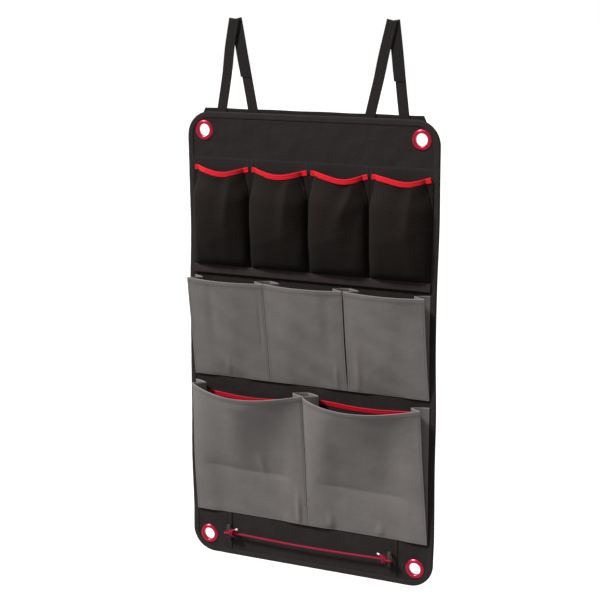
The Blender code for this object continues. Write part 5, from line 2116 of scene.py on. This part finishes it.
        def hooks(rise: float) -> tuple[float, float]:
            """The patch's layer."""
            rear = skin + 2 * self.gap + self.patch
            return rear, rear + self.patch

        rises = self.steps(self.end_rise - self.hook_length, self.end_rise, 0.002)
        patch = self.strip(f"hook_strip_{word}", True, rises, self.patch_half, hooks, self.patch_shift)
        self.shop.make(patch, Finish.HOOK, body, f"hook_patch_{word}")

    def face_ends(self, front: bool, rise: float, ahead: float) -> tuple[Vector, Vector]:
        """The left and right ends of a leg's flat front at a height."""
        ring = self.section(front, rise, self.width / 2, (-ahead, ahead))
        return ring[15], ring[11]

    def edge_track(self, front: bool, low: float, high: float, share: float, ahead: float) -> Track:
        """A seam up a leg at a share of its half width."""
        track = []
        for rise in self.steps(low, high, 0.003):
            left, right = self.face_ends(front, rise, ahead)
            track.append((left.lerp(right, (share / 0.9 + 1) / 2), FORWARDS))
        return track

    def cross_track(self, front: bool, rise: float, ahead: float) -> Track:
        """A seam across a leg."""
        left, right = self.face_ends(front, rise, ahead)
        return [(left.lerp(right, share / 8), FORWARDS) for share in range(9)]

    def sew_seams(self) -> None:
        """The seams round the patches."""
        word = self.side.word
        front = self.raised(self.end_rise)[1]
        low, high = self.end_rise - self.hook_length + 0.002, self.end_rise - 0.002
        tracks = [self.edge_track(True, low, high, share, front) for share in (-0.82, 0.82)]
        tracks += [self.cross_track(True, rise, front) for rise in (low, low + 0.004, high)]
        self.shop.sew(f"hook_stitches_{word}", tracks, f"hanger_{word}_front_leg")
        pile = self.thickness / 2 + self.gap + self.patch
        low = self.end_rise - self.loop_length + 0.002
        tracks = [self.edge_track(False, low, high, share, pile) for share in (-0.84, 0.84)]
        tracks.append(self.cross_track(False, low, pile))
        self.shop.sew(f"loop_stitches_{word}", tracks, f"hanger_{word}_rear_leg")


@dataclass
class Studio:
    """The camera, a pale floor far below, a white surround and a soft key light from the upper left."""

    eye: tuple[float, float, float] = (1.1646, -2.4878, 0.1079)
    turn: tuple[float, float, float] = (78.149, 0.0, 25.471)
    lens: float = 90.466
    floor_height: float = -1.9

    def build(self) -> None:
        """Set the stage."""
        scene = bpy.context.scene
        view = scene.view_settings
        view.view_transform = "Standard"
        view.look = "None"
        view.exposure = 0.0
        view.gamma = 1.0
        data = bpy.data.cameras.new("camera")
        data.lens = self.lens
        data.sensor_width = 36.0
        data.clip_end = 100.0
        camera = link("camera", data)
        camera.location = self.eye
        camera.rotation_euler = tuple(math.radians(angle) for angle in self.turn)
        scene.camera = camera
        self.make_world(scene)
        floor = self.make_floor()
        key = self.make_light("key", (-0.50, -0.45, 0.74), 12.0, 12.0)

    def make_world(self, scene: bpy.types.Scene) -> None:
        """A plain white surround."""
        world = bpy.data.worlds.new("surround")
        world.use_nodes = True
        shade = world.node_tree.nodes["Background"]
        shade.inputs["Color"].default_value = (1.0, 1.0, 1.0, 1.0)
        shade.inputs["Strength"].default_value = 1.0
        scene.world = world

    def make_floor(self) -> Item:
        """A large pale floor."""
        deselect_all()
        bpy.ops.mesh.primitive_plane_add(size=60.0, location=(0.0, 0.0, self.floor_height))
        floor = bpy.context.active_object
        floor.name = "studio_floor"
        sketch = ShaderSketch("studio_floor")
        sketch.surface(Roughness=0.9)
        sketch.shader.inputs["Base Color"].default_value = (0.32, 0.32, 0.32, 1.0)
        return dress(floor, sketch.material)

    def make_light(self, name: str, source: tuple[float, float, float], power: float, spread: float) -> Item:
        """A soft distant light.

        Args:
            name: The light's name.
            source: The way it comes from, as a direction.
            power: Its strength.
            spread: Its angular size in degrees.

        Returns:
            The light.
        """
        data = bpy.data.lights.new(name, "SUN")
        data.energy = power
        data.angle = math.radians(spread)
        light = link(name, data)
        light.rotation_euler = (-Vector(source)).to_track_quat("-Z", "Y").to_euler()
        return light


MIDDLE_CREASES = (
    (
        Crease(0.30, 0.65, 0.07, 0.40, -0.0018), Crease(0.55, 0.45, 0.12, 0.35, 0.0014),
        Crease(0.47, 0.10, 0.03, 0.09, 0.0012), Crease(0.93, 0.55, 0.02, 0.30, -0.0008),
    ),
    (
        Crease(0.35, 0.60, 0.15, 0.30, 0.0018), Crease(0.80, 0.60, 0.07, 0.35, -0.0014),
        Crease(0.88, 0.12, 0.03, 0.12, 0.0018),
    ),
    (
        Crease(0.14, 0.20, 0.04, 0.22, 0.0020), Crease(0.45, 0.35, 0.16, 0.20, 0.0016, 0.4),
        Crease(0.70, 0.65, 0.10, 0.30, -0.0012),
    ),
)

LARGE_CREASES = (
    (
        Crease(0.43, 0.72, 0.13, 0.30, 0.0060), Crease(0.79, 0.74, 0.15, 0.26, -0.0055),
        Crease(0.62, 0.44, 0.035, 0.07, 0.0018, -1.2), Crease(0.93, 0.10, 0.020, 0.12, 0.0030),
    ),
    (
        Crease(0.20, 0.70, 0.12, 0.28, 0.0060), Crease(0.70, 0.75, 0.19, 0.25, -0.0056),
        Crease(0.20, 0.05, 0.030, 0.070, 0.0026), Crease(0.62, 0.04, 0.030, 0.060, 0.0022),
    ),
)


def main() -> None:
    """Dress the organizer and set its studio."""
    logging.basicConfig(level=logging.INFO, format="%(name)s %(message)s")
    plan = Plan()
    shop = Workshop(plan, Hang(plan), Wardrobe())
    BackPanel(shop).build()
    MeshRow(shop).build()
    BellowsRow(
        shop, "middle", 3, plan.middle_bottom, height=0.197, seam_depth=plan.face, mouth_depth=0.029,
        bow=0.007, dip=0.002, side_drop=0.003, draw_in=0.0, creases=MIDDLE_CREASES, slits=(0.0002, 0.0012),
    ).build()
    BellowsRow(
        shop, "large", 2, plan.large_bottom, height=0.266, seam_depth=plan.lining_face, mouth_depth=0.026,
        bow=0.029, dip=0.014, side_drop=0.003, draw_in=0.008, creases=LARGE_CREASES, slits=(0.0006,),
        bends=((0.385, 0.72, 0.22), (0.355, 0.50, 0.36)), peaks=(0.42, 0.34),
    ).build()
    InnerPockets(shop).build()
    Eyelets(shop).build()
    CordSet(shop).build()
    for side in Side:
        Hanger(shop, side).build()
    Studio().build()


if __name__ == "__main__":
    main()
